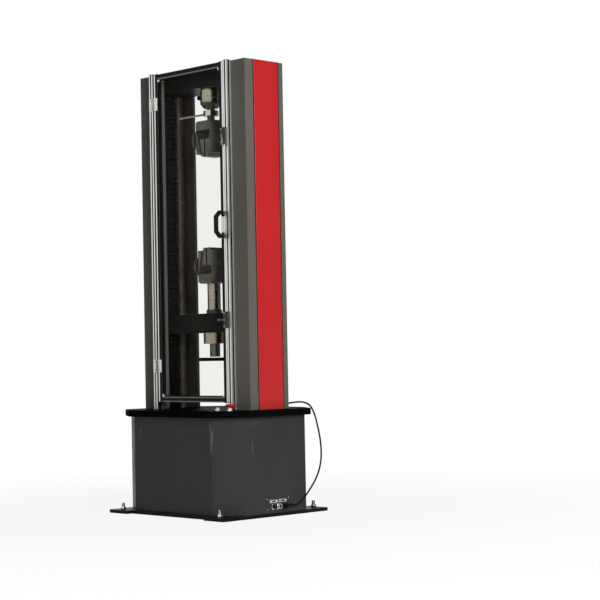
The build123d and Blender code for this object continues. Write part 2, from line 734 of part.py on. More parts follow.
def grip(word, place):
    """Wedge grip, modelled mouth up at the origin: body, two jaws and a scalloped hand wheel."""
    body = Pos(0, 0, -GRIP_H / 2) * Cylinder(GRIP_R, GRIP_H)
    body = chamfer(body.edges().group_by(Axis.Z)[0], GRIP_EDGE)
    body &= Pos(0, 0, -GRIP_H / 2) * Box(2 * GRIP_R, 2 * GRIP_FLAT, GRIP_H)
    deep = wall_x(-CAVITY_DEPTH)
    mouth = wall_x(CUT)
    body -= swept_xz([(-mouth, CUT), (mouth, CUT), (deep, -CAVITY_DEPTH), (-deep, -CAVITY_DEPTH)], GRIP_R)
    shaft_end = wall_x(-WHEEL_BELOW - WHEEL_SHAFT_R) + WHEEL_WALL
    body -= rod_x(0, -WHEEL_BELOW, -shaft_end, -GRIP_R - CUT, WHEEL_SHAFT_R + RUN_GAP)
    if word == "upper":
        body -= rod_z(0, 0, -GRIP_H - CUT, -GRIP_H + NECK_DEPTH, NECK_R + FIT_GAP)
    save(f"{word}_grip_body", place * body)
    clear = JAW_CLEAR / math.cos(math.radians(WEDGE_ANGLE))
    foot = JAW_PROUD - JAW_H
    for side, hand in zip(sides, ("left", "right")):
        jaw = swept_xz([
            (side * JAW_GAP / 2, foot), (side * (wall_x(foot) - clear), foot),
            (side * (wall_x(JAW_PROUD) - clear), JAW_PROUD), (side * JAW_GAP / 2, JAW_PROUD),
        ], JAW_HALF_Y)
        save(f"{word}_jaw_{hand}", place * jaw)
    wheel_in = -GRIP_R - WHEEL_GAP
    wheel_out = wheel_in - WHEEL_W
    wheel = rod_x(0, -WHEEL_BELOW, wheel_in, wheel_out, WHEEL_R)
    for i in range(WHEEL_SCALLOPS):
        turn = Rot(360 * i / WHEEL_SCALLOPS, 0, 0)
        notch = turn * rod_x(0, WHEEL_R + WHEEL_SCALLOP_R / 2, wheel_in + CUT, wheel_out - CUT,
                             WHEEL_SCALLOP_R)
        wheel -= Pos(0, 0, -WHEEL_BELOW) * notch
    wheel += rod_x(0, -WHEEL_BELOW, -shaft_end - RUN_GAP, wheel_out, WHEEL_SHAFT_R)
    save(f"{word}_hand_wheel", place * wheel)


def profile_face():
    """Section of the slotted profile, centred, with a slot in each side."""
    face = Rectangle(PROFILE, PROFILE)
    mouth = Pos(0, (PROFILE - SLOT_LIP) / 2) * Rectangle(SLOT_W, SLOT_LIP)
    pocket = Pos(0, PROFILE / 2 - SLOT_LIP - POCKET_D / 2) * Rectangle(POCKET_W, POCKET_D)
    for turn in range(4):
        face -= Rot(0, 0, 90 * turn) * (mouth + pocket)
    return face


def profile_z(x, y, bottom, top):
    """Upright profile with its corner nearest the origin of plan at (x, y)."""
    return extrude(Pos(x + PROFILE / 2, y + PROFILE / 2, bottom) * profile_face(), top - bottom)


def profile_x(start, end, y, z):
    """Level profile along X with its lower rear corner at (y, z)."""
    place = Pos(start, y + PROFILE / 2, z + PROFILE / 2)
    return extrude(place * (Plane.YZ * profile_face()), end - start, dir=(1, 0, 0))


def door_frame():
    """Fixed posts, and the door's stiles, rails and clear pane."""
    posts = [
        profile_z(-post_in - PROFILE, post_front, table_top, column_top),
        profile_z(post_in, post_front, table_top, column_top),
    ]
    save("door_posts", *posts)
    left_in = door_left + PROFILE
    right_in = door_right - PROFILE
    stiles = [
        profile_z(door_left, door_front, door_bottom, door_top),
        profile_z(right_in, door_front, door_bottom, door_top),
    ]
    save("door_stiles", *stiles)
    rails = [
        profile_x(left_in, right_in, door_front, door_bottom),
        profile_x(left_in, right_in, door_front, door_top - PROFILE),
    ]
    save("door_rails", *rails)
    mid_y = door_front + PROFILE / 2
    pane = block(
        (left_in - PANE_BITE, right_in + PANE_BITE),
        (mid_y - PANE_T / 2, mid_y + PANE_T / 2),
        (door_bottom + PROFILE - PANE_BITE, door_top - PROFILE + PANE_BITE),
    )
    save("door_pane", pane)


def hinge_axis():
    """Plan position of the door's hinge line, in front of the gap beside the left post."""
    return -post_in + DOOR_HINGE_GAP / 2, post_front - HINGE_KNUCKLE_R


def hinge_leaf(flat_y, near, far, z, low, high):
    """Flat leaf on a profile, reaching to a knuckle of its own height round the hinge line."""
    axis_x, axis_y = hinge_axis()
    plate_x = tuple(sorted((near, far)))
    leaf = block(plate_x, (flat_y - HINGE_T, flat_y), (z - HINGE_H / 2, z + HINGE_H / 2))
    leaf += block(tuple(sorted((near, axis_x))), (flat_y - HINGE_T, flat_y), (low, high))
    leaf += rod_z(axis_x, axis_y, low, high, HINGE_KNUCKLE_R)
    return leaf - rod_z(axis_x, axis_y, low - CUT, high + CUT, HINGE_PIN_R + RUN_GAP)


def hinges():
    """Two butt hinges: leaves and pins on the left post, leaves on the door."""
    axis_x, axis_y = hinge_axis()
    reach = HINGE_KNUCKLE_R + HINGE_EDGE
    fixed = []
    moving = []
    for z in (door_bottom + HINGE_FROM_BOTTOM, door_top - HINGE_FROM_TOP):
        low = z - HINGE_H / 2
        high = z + HINGE_H / 2
        post_far = -post_in - PROFILE + HINGE_EDGE
        door_far = door_left + PROFILE - HINGE_EDGE
        fixed.append(hinge_leaf(post_front, axis_x - reach, post_far, z, low, z - RUN_GAP))
        fixed.append(rod_z(axis_x, axis_y, low, high, HINGE_PIN_R))
        moving.append(hinge_leaf(door_front, axis_x + reach, door_far, z, z + RUN_GAP, high))
    save("hinge_fixed_leaves", *fixed)
    save("hinge_door_leaves", *moving)


def door_handle():
    """Black pull handle with cut-off corners and two feet, on the free stile."""
    z = (door_bottom + door_top) / 2 + HANDLE_ABOVE_MIDDLE
    x = door_right - PROFILE / 2
    half = HANDLE_L / 2
    front = door_front - HANDLE_REACH
    cut = HANDLE_CORNER
    inner_half = half - HANDLE_BAR
    inner_front = front + HANDLE_BAR
    foot_half = half - HANDLE_FOOT
    foot_front = door_front - HANDLE_FOOT_T
    inner_cut = cut - HANDLE_BAR * (2 - math.sqrt(2))
    outline = [
        (door_front, z - half), (front + cut, z - half), (front, z - half + cut),
        (front, z + half - cut), (front + cut, z + half), (door_front, z + half),
        (door_front, z + foot_half), (foot_front, z + foot_half),
        (foot_front, z + inner_half), (inner_front + inner_cut, z + inner_half),
        (inner_front, z + inner_half - inner_cut), (inner_front, z - inner_half + inner_cut),
        (inner_front + inner_cut, z - inner_half), (foot_front, z - inner_half),
        (foot_front, z - foot_half), (door_front, z - foot_half),
    ]
    bar = extrude(Plane.YZ * Polygon(*outline, align=None), HANDLE_W / 2, both=True)
    save("door_handle", Pos(x, 0, 0) * bar)


def latches():
    """Two turn latches on the free stile: stepped base plates and ball-ended levers."""
    pivot_x = post_in + LATCH_BOSS_R / 2
    base_back = post_front - LATCH_POST_GAP
    base_front = base_back - LATCH_T
    lever_back = base_front - LEVER_GAP
    arm_y = lever_back - LEVER_BALL_R
    lever_front = arm_y - LATCH_BOSS_FACE
    plate_x = (door_right - LATCH_SEAT, pivot_x + LATCH_PAST_PIN)
    foot_x = (plate_x[0], door_right - HINGE_EDGE)
    bases = []
    places = (
        ("lower", door_bottom + LATCH_FROM_BOTTOM, 0),
        ("upper", door_top - LATCH_FROM_TOP, -90),
    )
    for word, z, turn in places:
        height = (z - LATCH_H / 2, z + LATCH_H / 2)
        base = block(plate_x, (base_front, base_back), height)
        base += block(foot_x, (base_back, door_front), height)
        base -= rod_y(pivot_x, z, base_front - CUT, base_back + CUT, LATCH_PIN_R + RUN_GAP)
        bases.append(base)
        lever = rod_y(0, 0, lever_front, lever_back, LATCH_BOSS_R)
        lever += rod_y(0, 0, lever_back - CUT, base_back, LATCH_PIN_R)
        lever += Pos(0, arm_y, 0) * rod_x(0, 0, 0, -LEVER_L, LEVER_R)
        lever += Pos(-LEVER_L, arm_y, 0) * Rot(0, 90, 0) * Sphere(LEVER_BALL_R)
        save(f"latch_lever_{word}", Pos(pivot_x, 0, z) * Rot(0, turn, 0) * lever)
    save("latch_bases", *bases)


def collar(x, y, radius, height, bore_r):
    """Collar on the table with a barrel through it, bored for a plunger."""
    return turned([
        (bore_r, cabinet_top), (BARREL_R, cabinet_top), (BARREL_R, table_top), (radius, table_top),
        (radius, table_top + height - COLLAR_BEVEL), (radius - COLLAR_BEVEL, table_top + height),
        (bore_r, table_top + height),
    ], x, y)


def controls():
    """Emergency stop and two push buttons, each a plunger in its own collar."""
    x = estop_x()
    collars = [collar(x, estop_y, ESTOP_COLLAR_R, ESTOP_COLLAR_H, ESTOP_STEM_R + RUN_GAP)]
    shoulder = table_top + ESTOP_LIFT
    foot = cabinet_top + PLUNGER_ROOM
    save("estop_stem", turned([
        (0, foot), (ESTOP_STEM_R, foot), (ESTOP_STEM_R, shoulder),
        (ESTOP_TIP_R, shoulder), (ESTOP_TIP_R, shoulder + ESTOP_TIP_H), (0, shoulder + ESTOP_TIP_H),
    ], x, estop_y))
    head_top = shoulder + ESTOP_HEAD_H
    bore_r = ESTOP_TIP_R + RUN_GAP
    bore_top = shoulder + ESTOP_TIP_H + RUN_GAP
    head = turned([
        (bore_r, shoulder), (ESTOP_NECK_R, shoulder), (ESTOP_R, shoulder + ESTOP_FLARE),
        (ESTOP_R, head_top), (0, head_top), (0, bore_top), (bore_r, bore_top),
    ], x, estop_y)
    save("estop_head", fillet(head.edges().group_by(Axis.Z)[-1], ESTOP_CROWN))
    for dx, word in zip(BUTTON_OFFSETS, ("left", "right")):
        collars.append(collar(x + dx, button_y, BUTTON_BEZEL_R, BUTTON_BEZEL_H, BUTTON_R + RUN_GAP))
        top = table_top + BUTTON_BEZEL_H + BUTTON_PROUD
        cap = rod_z(x + dx, button_y, foot, top, BUTTON_R)
        save(f"button_{word}", chamfer(cap.edges().group_by(Axis.Z)[-1], EDGE_BREAK))
    save("control_bezels", *collars)


def cable():
    """Gland behind the right column, angled plug on the panel and the free cable between them."""
    gland_z = table_top + GLAND_UP
    gland_end = COLUMN_REAR + GLAND_L
    nut_end = COLUMN_REAR + GLAND_NUT_L
    nut = Pos(GLAND_X, COLUMN_REAR, gland_z) * (Plane.XZ * RegularPolygon(GLAND_R, 6))
    gland = extrude(nut, nut_end - COLUMN_REAR, dir=(0, 1, 0))
    gland += rod_y(GLAND_X, gland_z, nut_end, gland_end, GLAND_NECK_R)
    save("cable_gland", gland)
    face_x = cabinet_x + PORT_PANEL_T
    socket_y = PORT_PANEL_Y + SOCKET_Y[-1]
    socket_z = cabinet_base + PORT_PANEL_UP + SOCKET_UP
    arm_x = face_x + PLUG_OUT
    arm_end = socket_y + PLUG_ARM
    plug = rod_x(socket_y, socket_z, face_x, arm_x + PLUG_R, PLUG_R)
    plug += rod_y(arm_x, socket_z, socket_y, arm_end, PLUG_ARM_R)
    boot = Rot(-90, 0, 0) * Cone(BOOT_BASE_R, BOOT_R, BOOT_L)
    boot = Pos(arm_x, arm_end + BOOT_L / 2, socket_z) * boot
    save("cable_plug", plug + boot)
    start = Vector(GLAND_X, gland_end, gland_z)
    end = Vector(arm_x, arm_end + BOOT_L, socket_z)
    route = [start, start + Vector(0, CABLE_LEAD, 0)] + [Vector(*p) for p in CABLE_ROUTE]
    route += [end + Vector(0, CABLE_TAIL, 0), end]
    radii = []
    for before, here, after in zip(route, route[1:], route[2:]):
        turn = math.radians((here - before).get_angle(after - here))
        shorter = min((here - before).length, (after - here).length)
        radii.append(BEND_SHARE * shorter / math.tan(turn / 2))
    print("cable bend radii", [round(r) for r in radii])
    path = FilletPolyline(*route, radius=radii)
    section = Plane(origin=start, z_dir=route[1] - start) * Circle(CABLE_R)
    tube = sweep(section, path)
    print("cable length", round(path.length, 1))
    print("cable volume share", round(tube.volume / (math.pi * CABLE_R ** 2 * path.length), 4))
    save("signal_cable", tube)


def main():
    """Build every piece of the machine."""
    os.makedirs("parts", exist_ok=True)
    floor_plate()
    cabinet()
    connector_panel()
    table_plate()
    column_covers()
    top_beam()
    ball_screws()
    drive()
    save("lower_bellows", *bellows(table_top, crosshead_bottom - BELLOWS_GAP))
    save("upper_bellows", *bellows(crosshead_top + BELLOWS_GAP, beam_bottom))
    crosshead()
    load_train()
    grip("lower", Pos(0, 0, lower_mouth))
    grip("upper", Pos(0, 0, upper_mouth) * Rot(180, 0, 0))
    door_frame()
    hinges()
    door_handle()
    latches()
    controls()
    cable()


main()
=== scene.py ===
import json
import math

import bmesh
import bpy
from bpy.props import FloatProperty, FloatVectorProperty, IntProperty, PointerProperty
from mathutils import Matrix, Vector


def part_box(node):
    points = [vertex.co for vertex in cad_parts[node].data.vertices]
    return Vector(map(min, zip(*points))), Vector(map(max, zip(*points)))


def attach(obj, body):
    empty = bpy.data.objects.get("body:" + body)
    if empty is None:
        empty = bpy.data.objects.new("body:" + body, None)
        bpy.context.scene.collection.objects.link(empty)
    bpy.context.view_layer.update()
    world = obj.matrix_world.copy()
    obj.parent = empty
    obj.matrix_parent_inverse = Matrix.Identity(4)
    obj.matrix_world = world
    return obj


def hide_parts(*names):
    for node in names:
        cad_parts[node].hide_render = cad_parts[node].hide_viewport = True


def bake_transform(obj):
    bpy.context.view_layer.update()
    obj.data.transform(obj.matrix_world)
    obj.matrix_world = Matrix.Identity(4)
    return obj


bl_info = {
    "name": "Testing machine finish",
    "version": (1, 0, 0),
    "blender": (4, 5, 0),
    "location": "3D View > Sidebar > Tester",
    "description": "Dresses a floor-standing testing machine with finishes, trim, bellows and its cable",
    "category": "Object",
}

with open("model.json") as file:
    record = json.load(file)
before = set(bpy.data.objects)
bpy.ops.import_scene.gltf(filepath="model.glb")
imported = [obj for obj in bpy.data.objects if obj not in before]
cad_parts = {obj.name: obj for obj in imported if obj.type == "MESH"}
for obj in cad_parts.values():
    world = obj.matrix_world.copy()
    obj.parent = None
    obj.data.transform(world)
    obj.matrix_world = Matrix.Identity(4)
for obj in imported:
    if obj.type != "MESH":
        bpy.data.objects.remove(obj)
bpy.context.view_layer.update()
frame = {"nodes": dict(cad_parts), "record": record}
RECORD = frame["record"]
BODY_OF = {node: body for body, nodes in RECORD["behaviour"]["bodies"].items() for node in nodes}
SIDES = (-1, 1)
FRONT = Vector((0, -1, 0))
RIGHT = Vector((1, 0, 0))
HARD_ANGLE = math.radians(32)
FLAT_ANGLE = math.radians(0.6)
WELD = 2e-6
TINY = 1e-6
FINE_EDGE = 0.0006

# Rounding of the solids' edges in metres, for dress. It leaves a solid that isn't listed as it is.
EDGE_ROUND = {
    "floor_plate": 0.0020, "table_plate": 0.0030, "top_beam": 0.0030, "moving_crosshead": 0.0030,
    "cabinet_front": 0.0008, "cabinet_sides": 0.0008, "cabinet_corners": 0.0008,
    "connector_panel": 0.0006, "panel_connectors": 0.0008, "cable_gland": 0.0006, "cable_plug": 0.0006,
    "column_cover_left": 0.0012, "column_cover_right": 0.0012, "side_panels": 0.0006, "rear_tie_bar": 0.0015,
    "motor_bracket": 0.0010, "servo_motor": 0.0020, "servo_drive": 0.0015,
    "lower_adapter": 0.0012, "lower_grip_base": 0.0012,
    "load_cell": 0.0012, "upper_adapter": 0.0010, "lock_ring": 0.0012,
    "upper_grip_body": 0.0018, "lower_grip_body": 0.0018,
    "upper_hand_wheel": 0.0014, "lower_hand_wheel": 0.0014,
    "upper_jaw_left": 0.0008, "upper_jaw_right": 0.0008, "lower_jaw_left": 0.0008, "lower_jaw_right": 0.0008,
    "hinge_fixed_leaves": 0.0005, "hinge_door_leaves": 0.0005, "latch_bases": 0.0008,
    "control_bezels": 0.0006, "estop_head": 0.0008, "button_left": 0.0006, "button_right": 0.0006,
}


def colour_prop(label, about, value):
    """Colour that a user may change."""
    return FloatVectorProperty(name=label, description=about, default=value, size=3, min=0, max=1,
                               subtype="COLOR")


def length_prop(label, about, value):
    """Length in metres that a user may change."""
    return FloatProperty(name=label, description=about, default=value, min=0, precision=4, unit="LENGTH")


def angle_prop(label, about, degrees):
    """Angle that a user may change."""
    return FloatProperty(name=label, description=about, default=math.radians(degrees), subtype="ANGLE")


def level_prop(label, about, value):
    """Plain number that a user may change."""
    return FloatProperty(name=label, description=about, default=value)


class TesterPaint(bpy.types.PropertyGroup):
    """Colours of the painted, plated and moulded pieces."""
    column_grey: colour_prop("Column grey", "Powder coat of the column covers", (0.145, 0.140, 0.120))
    side_red: colour_prop("Side red", "Gloss paint of the side panels", (0.610, 0.021, 0.023))
    cabinet_charcoal: colour_prop("Cabinet charcoal", "Powder coat of the cabinet", (0.042, 0.044, 0.044))
    table_black: colour_prop("Table black", "Paint of the table", (0.004, 0.004, 0.004))
    frame_black: colour_prop("Frame black", "Satin paint of crosshead, beam and plate", (0.009, 0.009, 0.008))
    bright_steel: colour_prop("Bright steel", "Plated fittings", (0.66, 0.66, 0.64))
    # Painted reflection: the warm tint stands in for warm surroundings mirrored in the load cell and
    # adapters.
    polished_steel: colour_prop("Polished steel", "Load cell and adapters", (0.42, 0.375, 0.30))
    phosphate: colour_prop("Phosphate", "Dark coat of the wedge grips", (0.165, 0.155, 0.130))
    jaw_steel: colour_prop("Jaw steel", "Hardened wedge jaws", (0.17, 0.165, 0.15))
    aluminium: colour_prop("Aluminium", "Upright slotted profiles", (0.95, 0.95, 0.93))
    # Painted shade: the level rails take a dark copy of the upright aluminium, standing in for the shade on
    # their fronts.
    shaded_aluminium: colour_prop("Shaded aluminium", "Level slotted profiles", (0.16, 0.16, 0.15))
    clear_pane: colour_prop("Clear pane", "Tint of the guard pane", (0.862, 0.863, 0.834))
    tin: colour_prop("Tin", "Hinges, bezels and shells of the ports", (0.90, 0.90, 0.87))
    latch_grey: colour_prop("Latch grey", "Coat of the latches' plates", (0.080, 0.080, 0.076))
    mould_black: colour_prop("Moulded black", "Handle, caps, gasket and plug", (0.006, 0.006, 0.006))
    stop_red: colour_prop("Stop red", "Emergency stop's head", (0.62, 0.012, 0.016))
    button_white: colour_prop("Button white", "Push buttons", (0.80, 0.80, 0.78))
    cloth_black: colour_prop("Cloth black", "Pleated bellows", (0.008, 0.008, 0.009))
    oiled_steel: colour_prop("Oiled steel", "Guide columns under preservative oil", (0.080, 0.064, 0.045))
    # Painted shade: the covers' inner walls take a browner colour that stands in for the shade inside the
    # columns.
    cover_inside_shade: colour_prop("Cover inside", "Primer inside the column covers", (0.150, 0.128, 0.094))


class TesterTrim(bpy.types.PropertyGroup):
    """Sizes of the trim that is added to the machine."""
    profile: length_prop("Profile", "Side of the slotted profiles", 0.025)
    slot_width: length_prop("Slot width", "Mouth of the profile's slot", 0.0065)
    strip_width: length_prop("Strip width", "Lip of the slot strip over the slot's mouth", 0.0080)
    # Painted shade: wide black strip that stands in for the shade in the gap between the posts and the door.
    gap_shade_width: length_prop("Seal width", "Strip on the posts' faces towards the door", 0.0220)
    strip_lip: length_prop("Strip lip", "Slot strip's lip on the profile's face", 0.0005)
    strip_depth: length_prop("Strip depth", "Slot strip's stem inside the slot", 0.0015)
    cap_height: length_prop("Cap height", "End cap on a profile", 0.0030)
    gasket_width: length_prop("Gasket width", "Gasket that shows round the pane", 0.0055)
    gasket_lip: length_prop("Gasket lip", "Gasket in front of the pane", 0.0020)
    # Painted shade: black rings on the door's inner faces that stand in for their shade.
    shade_lining: length_prop("Lining", "Black lining on the door's inner faces", 0.0015)
    # Painted shade: black strip on the stiles' inner lands that stands in for the shade on the stiles'
    # fronts.
    land_shade: length_prop("Land cover", "Gasket's flap over the inner edges of the stiles", 0.0085)
    # Painted shade: black strips on the rails' fronts that stand in for their shade.
    top_rail_shade: length_prop("Rail cover", "Black cover strip on the front of the top rail", 0.0185)
    lower_rail_shade: length_prop("Lower cover", "Black cover strip on the front of the lower rail", 0.0125)
    handle_swell: length_prop("Handle swell", "How far the handle's grip stands out from its bar", 0.0022)
    handle_foot: length_prop("Handle foot", "Depth of the handle's feet", 0.0085)
    bracket_leg: length_prop("Bracket leg", "Leg of the door's corner brackets", 0.0120)
    bracket_depth: length_prop("Bracket depth", "Corner bracket from front to back", 0.0080)
    screw_radius: length_prop("Screw radius", "Head of the small screws", 0.0035)
    screw_height: length_prop("Screw height", "Head height of the small screws", 0.0022)
    pleat_pitch: length_prop("Pleat pitch", "Height of one pleat of the upper bellows", 0.0245)
    packed_pitch: length_prop("Packed pitch", "Height of one pleat of the packed lower bellows", 0.0100)
    pleat_depth: length_prop("Pleat depth", "Depth of one bellows pleat", 0.0090)
    tooth_pitch: length_prop("Tooth pitch", "Pitch of the jaws' teeth", 0.0028)
    tooth_height: length_prop("Tooth height", "Height of the jaws' teeth", 0.0006)
    thread_pitch: length_prop("Thread pitch", "Pitch of the levelling bolts", 0.0020)
    # Painted shadow: black strips that stand in for the shadow gap at the front and rear edges of the side
    # panels.
    edge_shadow_strip: length_prop("Edge strip", "Black strip beside the side panels", 0.0040)
    cable_radius: length_prop("Cable radius", "Radius of the signal cable", 0.0040)
    louvre_rows: IntProperty(name="Louvre rows", description="Rows of louvres at the rear", default=7, min=1)


class TesterStage(bpy.types.PropertyGroup):
    """Camera, lamps and floor."""
    camera_place: FloatVectorProperty(name="Camera place", description="Where the camera stands", size=3,
                                      default=(5.93891, -5.31451, 0.7409), subtype="XYZ", unit="LENGTH")
    camera_turn: angle_prop("Camera turn", "Angle of the view round the machine", 45.2545)
    camera_pitch: angle_prop("Camera pitch", "Camera's height angle over the machine", -1.8068)
    camera_roll: angle_prop("Camera roll", "Tilt of the picture", -1.1008)
    camera_lens: level_prop("Lens", "Focal length on a 36 mm sensor, in millimetres", 100.786)
    key_power: level_prop("Key", "Power of the key lamp in watts", 225.0)
    strip_power: level_prop("Strip", "Power of the tall strip lamp in watts", 8.0)
    top_power: level_prop("Top", "Power of the lamp overhead in watts", 36.0)
    fill_power: level_prop("Fill", "Power of the lamp behind and to the left in watts", 60.0)
    sky_level: level_prop("Sky", "Even light from all round", 0.09)
    mirror_level: level_prop("Mirror", "White that shiny things see round them", 0.10)
    wall_level: level_prop("Wall", "White wall that shiny things see in front", 1.0)
    wall_side: FloatVectorProperty(name="Wall side", description="Where that wall stands", size=3,
                                   default=(-0.035, -0.999, 0.0), subtype="DIRECTION")
    wall_edge: level_prop("Wall edge", "Where that wall starts, as a cosine", 0.35)
    wall_middle: level_prop("Wall middle", "Where that wall is whitest, as a cosine", 0.66)
    floor_mirror: level_prop("Floor mirror", "White that shiny things see in the floor", 0.35)
    floor_grey: colour_prop("Floor", "Pale floor", (0.84, 0.84, 0.83))
    floor_glow: level_prop("Floor glow", "Share of plain white in the floor by the machine", 0.88)
    floor_near: length_prop("Floor near", "Distance at which the floor starts to turn to plain white", 0.9)
    floor_far: length_prop("Floor far", "Distance at which the floor is plain white", 3.0)


def new_node(tree, kind, values):
    """A new node with constants on its sockets."""
    node = tree.nodes.new(kind)
    for socket, value in values.items():
        node.inputs[socket].default_value = value
    return node


def ramp(tree, value, start, end, low, high):
    """Carry a value from one range to another."""
    limits = {"From Min": start, "From Max": end, "To Min": low, "To Max": high}
    node = new_node(tree, "ShaderNodeMapRange", limits)
    tree.links.new(value, node.inputs["Value"])
    return node.outputs["Result"]


def maths(tree, operation, first, second):
    """Join two sockets, or a socket and a number, by an operation's name."""
    node = tree.nodes.new("ShaderNodeMath")
    node.operation = operation
    tree.links.new(first, node.inputs[0])
    if isinstance(second, bpy.types.NodeSocket):
        tree.links.new(second, node.inputs[1])
    else:
        node.inputs[1].default_value = second
    return node.outputs[0]


class Finish:
    """A new node material, with short calls for what the finishes share."""

    def __init__(self, name, colour, roughness, metallic=0.0):
        self.material = bpy.data.materials.new(name)
        self.material.use_nodes = True
        self.tree = self.material.node_tree
        self.shader = self.tree.nodes["Principled BSDF"]
        self.coords = self.tree.nodes.new("ShaderNodeTexCoord").outputs["Object"]
        self.colour = tuple(colour)
        self.roughness = roughness
        self.put("Base Color", (*self.colour, 1.0))
        self.put("Roughness", roughness)
        self.put("Metallic", metallic)

    def put(self, socket, value):
        """Set one of the shader's own sockets."""
        self.shader.inputs[socket].default_value = value

    def join(self, output, target):
        """Link two sockets."""
        self.tree.links.new(output, target)

    def noise(self, scale, detail=3.0, stretch=(1, 1, 1)):
        """Noise over the piece, finer along the axes with a larger stretch."""
        mapping = new_node(self.tree, "ShaderNodeMapping", {"Scale": stretch})
        self.join(self.coords, mapping.inputs["Vector"])
        texture = new_node(self.tree, "ShaderNodeTexNoise", {"Scale": scale, "Detail": detail})
        self.join(mapping.outputs["Vector"], texture.inputs["Vector"])
        return texture.outputs["Fac"]

    def spread(self, noise, low, high, start=0.3, end=0.7):
        """Carry a noise value to a new range."""
        return ramp(self.tree, noise, start, end, low, high)

    def blend(self, value, first, second):
        """Mix a colour, or what is already mixed, with another by a value."""
        node = self.tree.nodes.new("ShaderNodeMix")
        node.data_type = "RGBA"
        for socket, colour in (("A", first), ("B", second)):
            target = [s for s in node.inputs if s.name == socket and s.type == "RGBA"][0]
            if isinstance(colour, bpy.types.NodeSocket):
                self.join(colour, target)
            else:
                target.default_value = (*colour, 1.0)
        self.join(value, node.inputs["Factor"])
        return [s for s in node.outputs if s.type == "RGBA"][0]

    def mottle(self, scale, amount, patches=None, patch_colour=None):
        """Let the base colour drift, darker and lighter, with patches of another colour over it."""
        dark = [c * (1 - amount) for c in self.colour]
        light = [min(1.0, c * (1 + amount)) for c in self.colour]
        mixed = self.blend(self.spread(self.noise(scale, detail=5.0), 0, 1), dark, light)
        if patches is not None:
            mixed = self.blend(patches, mixed, patch_colour)
        self.join(mixed, self.shader.inputs["Base Color"])

    def wear(self, scale, amount, stretch=(1, 1, 1)):
        """Let the roughness drift, and stay short of a mirror."""
        smoothest = 0.03
        noise = self.noise(scale, detail=4.0, stretch=stretch)
        low = max(smoothest, self.roughness - amount)
        self.join(self.spread(noise, low, self.roughness + amount), self.shader.inputs["Roughness"])

    def grain(self, scale, strength, height, stretch=(1, 1, 1)):
        """Fine relief from noise."""
        noise = self.noise(scale, detail=2.0, stretch=stretch)
        node = new_node(self.tree, "ShaderNodeBump", {"Strength": strength, "Distance": height})
        self.join(noise, node.inputs["Height"])
        self.join(node.outputs["Normal"], self.shader.inputs["Normal"])

    def cover(self, other, share):
        """Lay another shader over the finish by a share."""
        mix = self.tree.nodes.new("ShaderNodeMixShader")
        self.join(share, mix.inputs["Fac"])
        self.join(self.shader.outputs["BSDF"], mix.inputs[1])
        self.join(other, mix.inputs[2])
        self.join(mix.outputs["Shader"], self.tree.nodes["Material Output"].inputs["Surface"])


def powder_coat(name, colour):
    """Baked powder coat with a fine orange-peel surface and faint rubbed marks."""
    finish = Finish(name, colour, roughness=0.48)
    noise = finish.noise(scale=5.0, detail=6.0, stretch=(1.0, 1.0, 0.35))
    rubbed = finish.spread(noise, low=0.0, high=0.22, start=0.60, end=0.72)
    paler = [min(1.0, c * 1.3 + 0.006) for c in colour]
    finish.mottle(scale=3.0, amount=0.05, patches=rubbed, patch_colour=paler)
    finish.wear(scale=9.0, amount=0.06)
    finish.grain(scale=650.0, strength=0.06, height=0.0003)
    finish.put("Specular IOR Level", 0.10)
    return finish.material


def scuffed_coat(name, colour):
    """Cabinet coat: powder coat with a few pale scratches and dusty patches."""
    finish = Finish(name, colour, roughness=0.36)
    noise = finish.noise(scale=16.0, detail=2.0, stretch=(1.0, 1.0, 0.18))
    scratch = finish.spread(noise, low=0.0, high=0.50, start=0.695, end=0.76)
    finish.mottle(scale=4.0, amount=0.10, patches=scratch, patch_colour=(0.22, 0.22, 0.22))
    finish.wear(scale=7.0, amount=0.09)
    finish.grain(scale=650.0, strength=0.10, height=0.0004)
    finish.put("Specular IOR Level", 0.18)
    return finish.material


def sprayed_paint(name, colour, roughness, shine, coat):
    """Even sprayed paint, under a clear coat where coat is above nought."""
    finish = Finish(name, colour, roughness)
    finish.mottle(scale=1.6, amount=0.03)
    finish.wear(scale=3.0, amount=0.02)
    finish.put("Specular IOR Level", shine)
    finish.put("Coat Weight", coat)
    finish.put("Coat Roughness", 0.08)
    return finish.material


def satin_paint(name, colour):
    """Satin paint, rubbed to grey here and there."""
    finish = Finish(name, colour, roughness=0.40)
    worn = finish.spread(finish.noise(scale=22.0, detail=6.0), low=0.0, high=0.25, start=0.68, end=0.80)
    finish.mottle(scale=8.0, amount=0.20, patches=worn, patch_colour=(0.05, 0.05, 0.05))
    finish.wear(scale=16.0, amount=0.10)
    finish.grain(scale=380.0, strength=0.08, height=0.0003)
    finish.put("Specular IOR Level", 0.08)
    return finish.material


def turned_metal(name, colour, roughness):
    """Machined metal with fine tool lines round the piece."""
    lines_round = (0.02, 0.02, 1.0)
    finish = Finish(name, colour, roughness, metallic=1.0)
    finish.mottle(scale=18.0, amount=0.08)
    finish.wear(scale=300.0, amount=0.04, stretch=lines_round)
    finish.grain(scale=900.0, strength=0.04, height=0.0002, stretch=lines_round)
    return finish.material


def plated_metal(name, colour, roughness, metallic):
    """Plated fittings with a slight cloudy sheen."""
    finish = Finish(name, colour, roughness, metallic)
    finish.mottle(scale=60.0, amount=0.08)
    finish.wear(scale=80.0, amount=0.03)
    return finish.material


def phosphate_metal(name, colour):
    """Dark phosphate coat, oily and rubbed bright in patches."""
    finish = Finish(name, colour, roughness=0.42, metallic=0.30)
    rubbed = finish.spread(finish.noise(scale=34.0, detail=6.0), low=0.0, high=0.45, start=0.60, end=0.75)
    finish.mottle(scale=24.0, amount=0.25, patches=rubbed, patch_colour=(0.26, 0.25, 0.24))
    finish.wear(scale=30.0, amount=0.12)
    finish.grain(scale=500.0, strength=0.18, height=0.0003)
    return finish.material


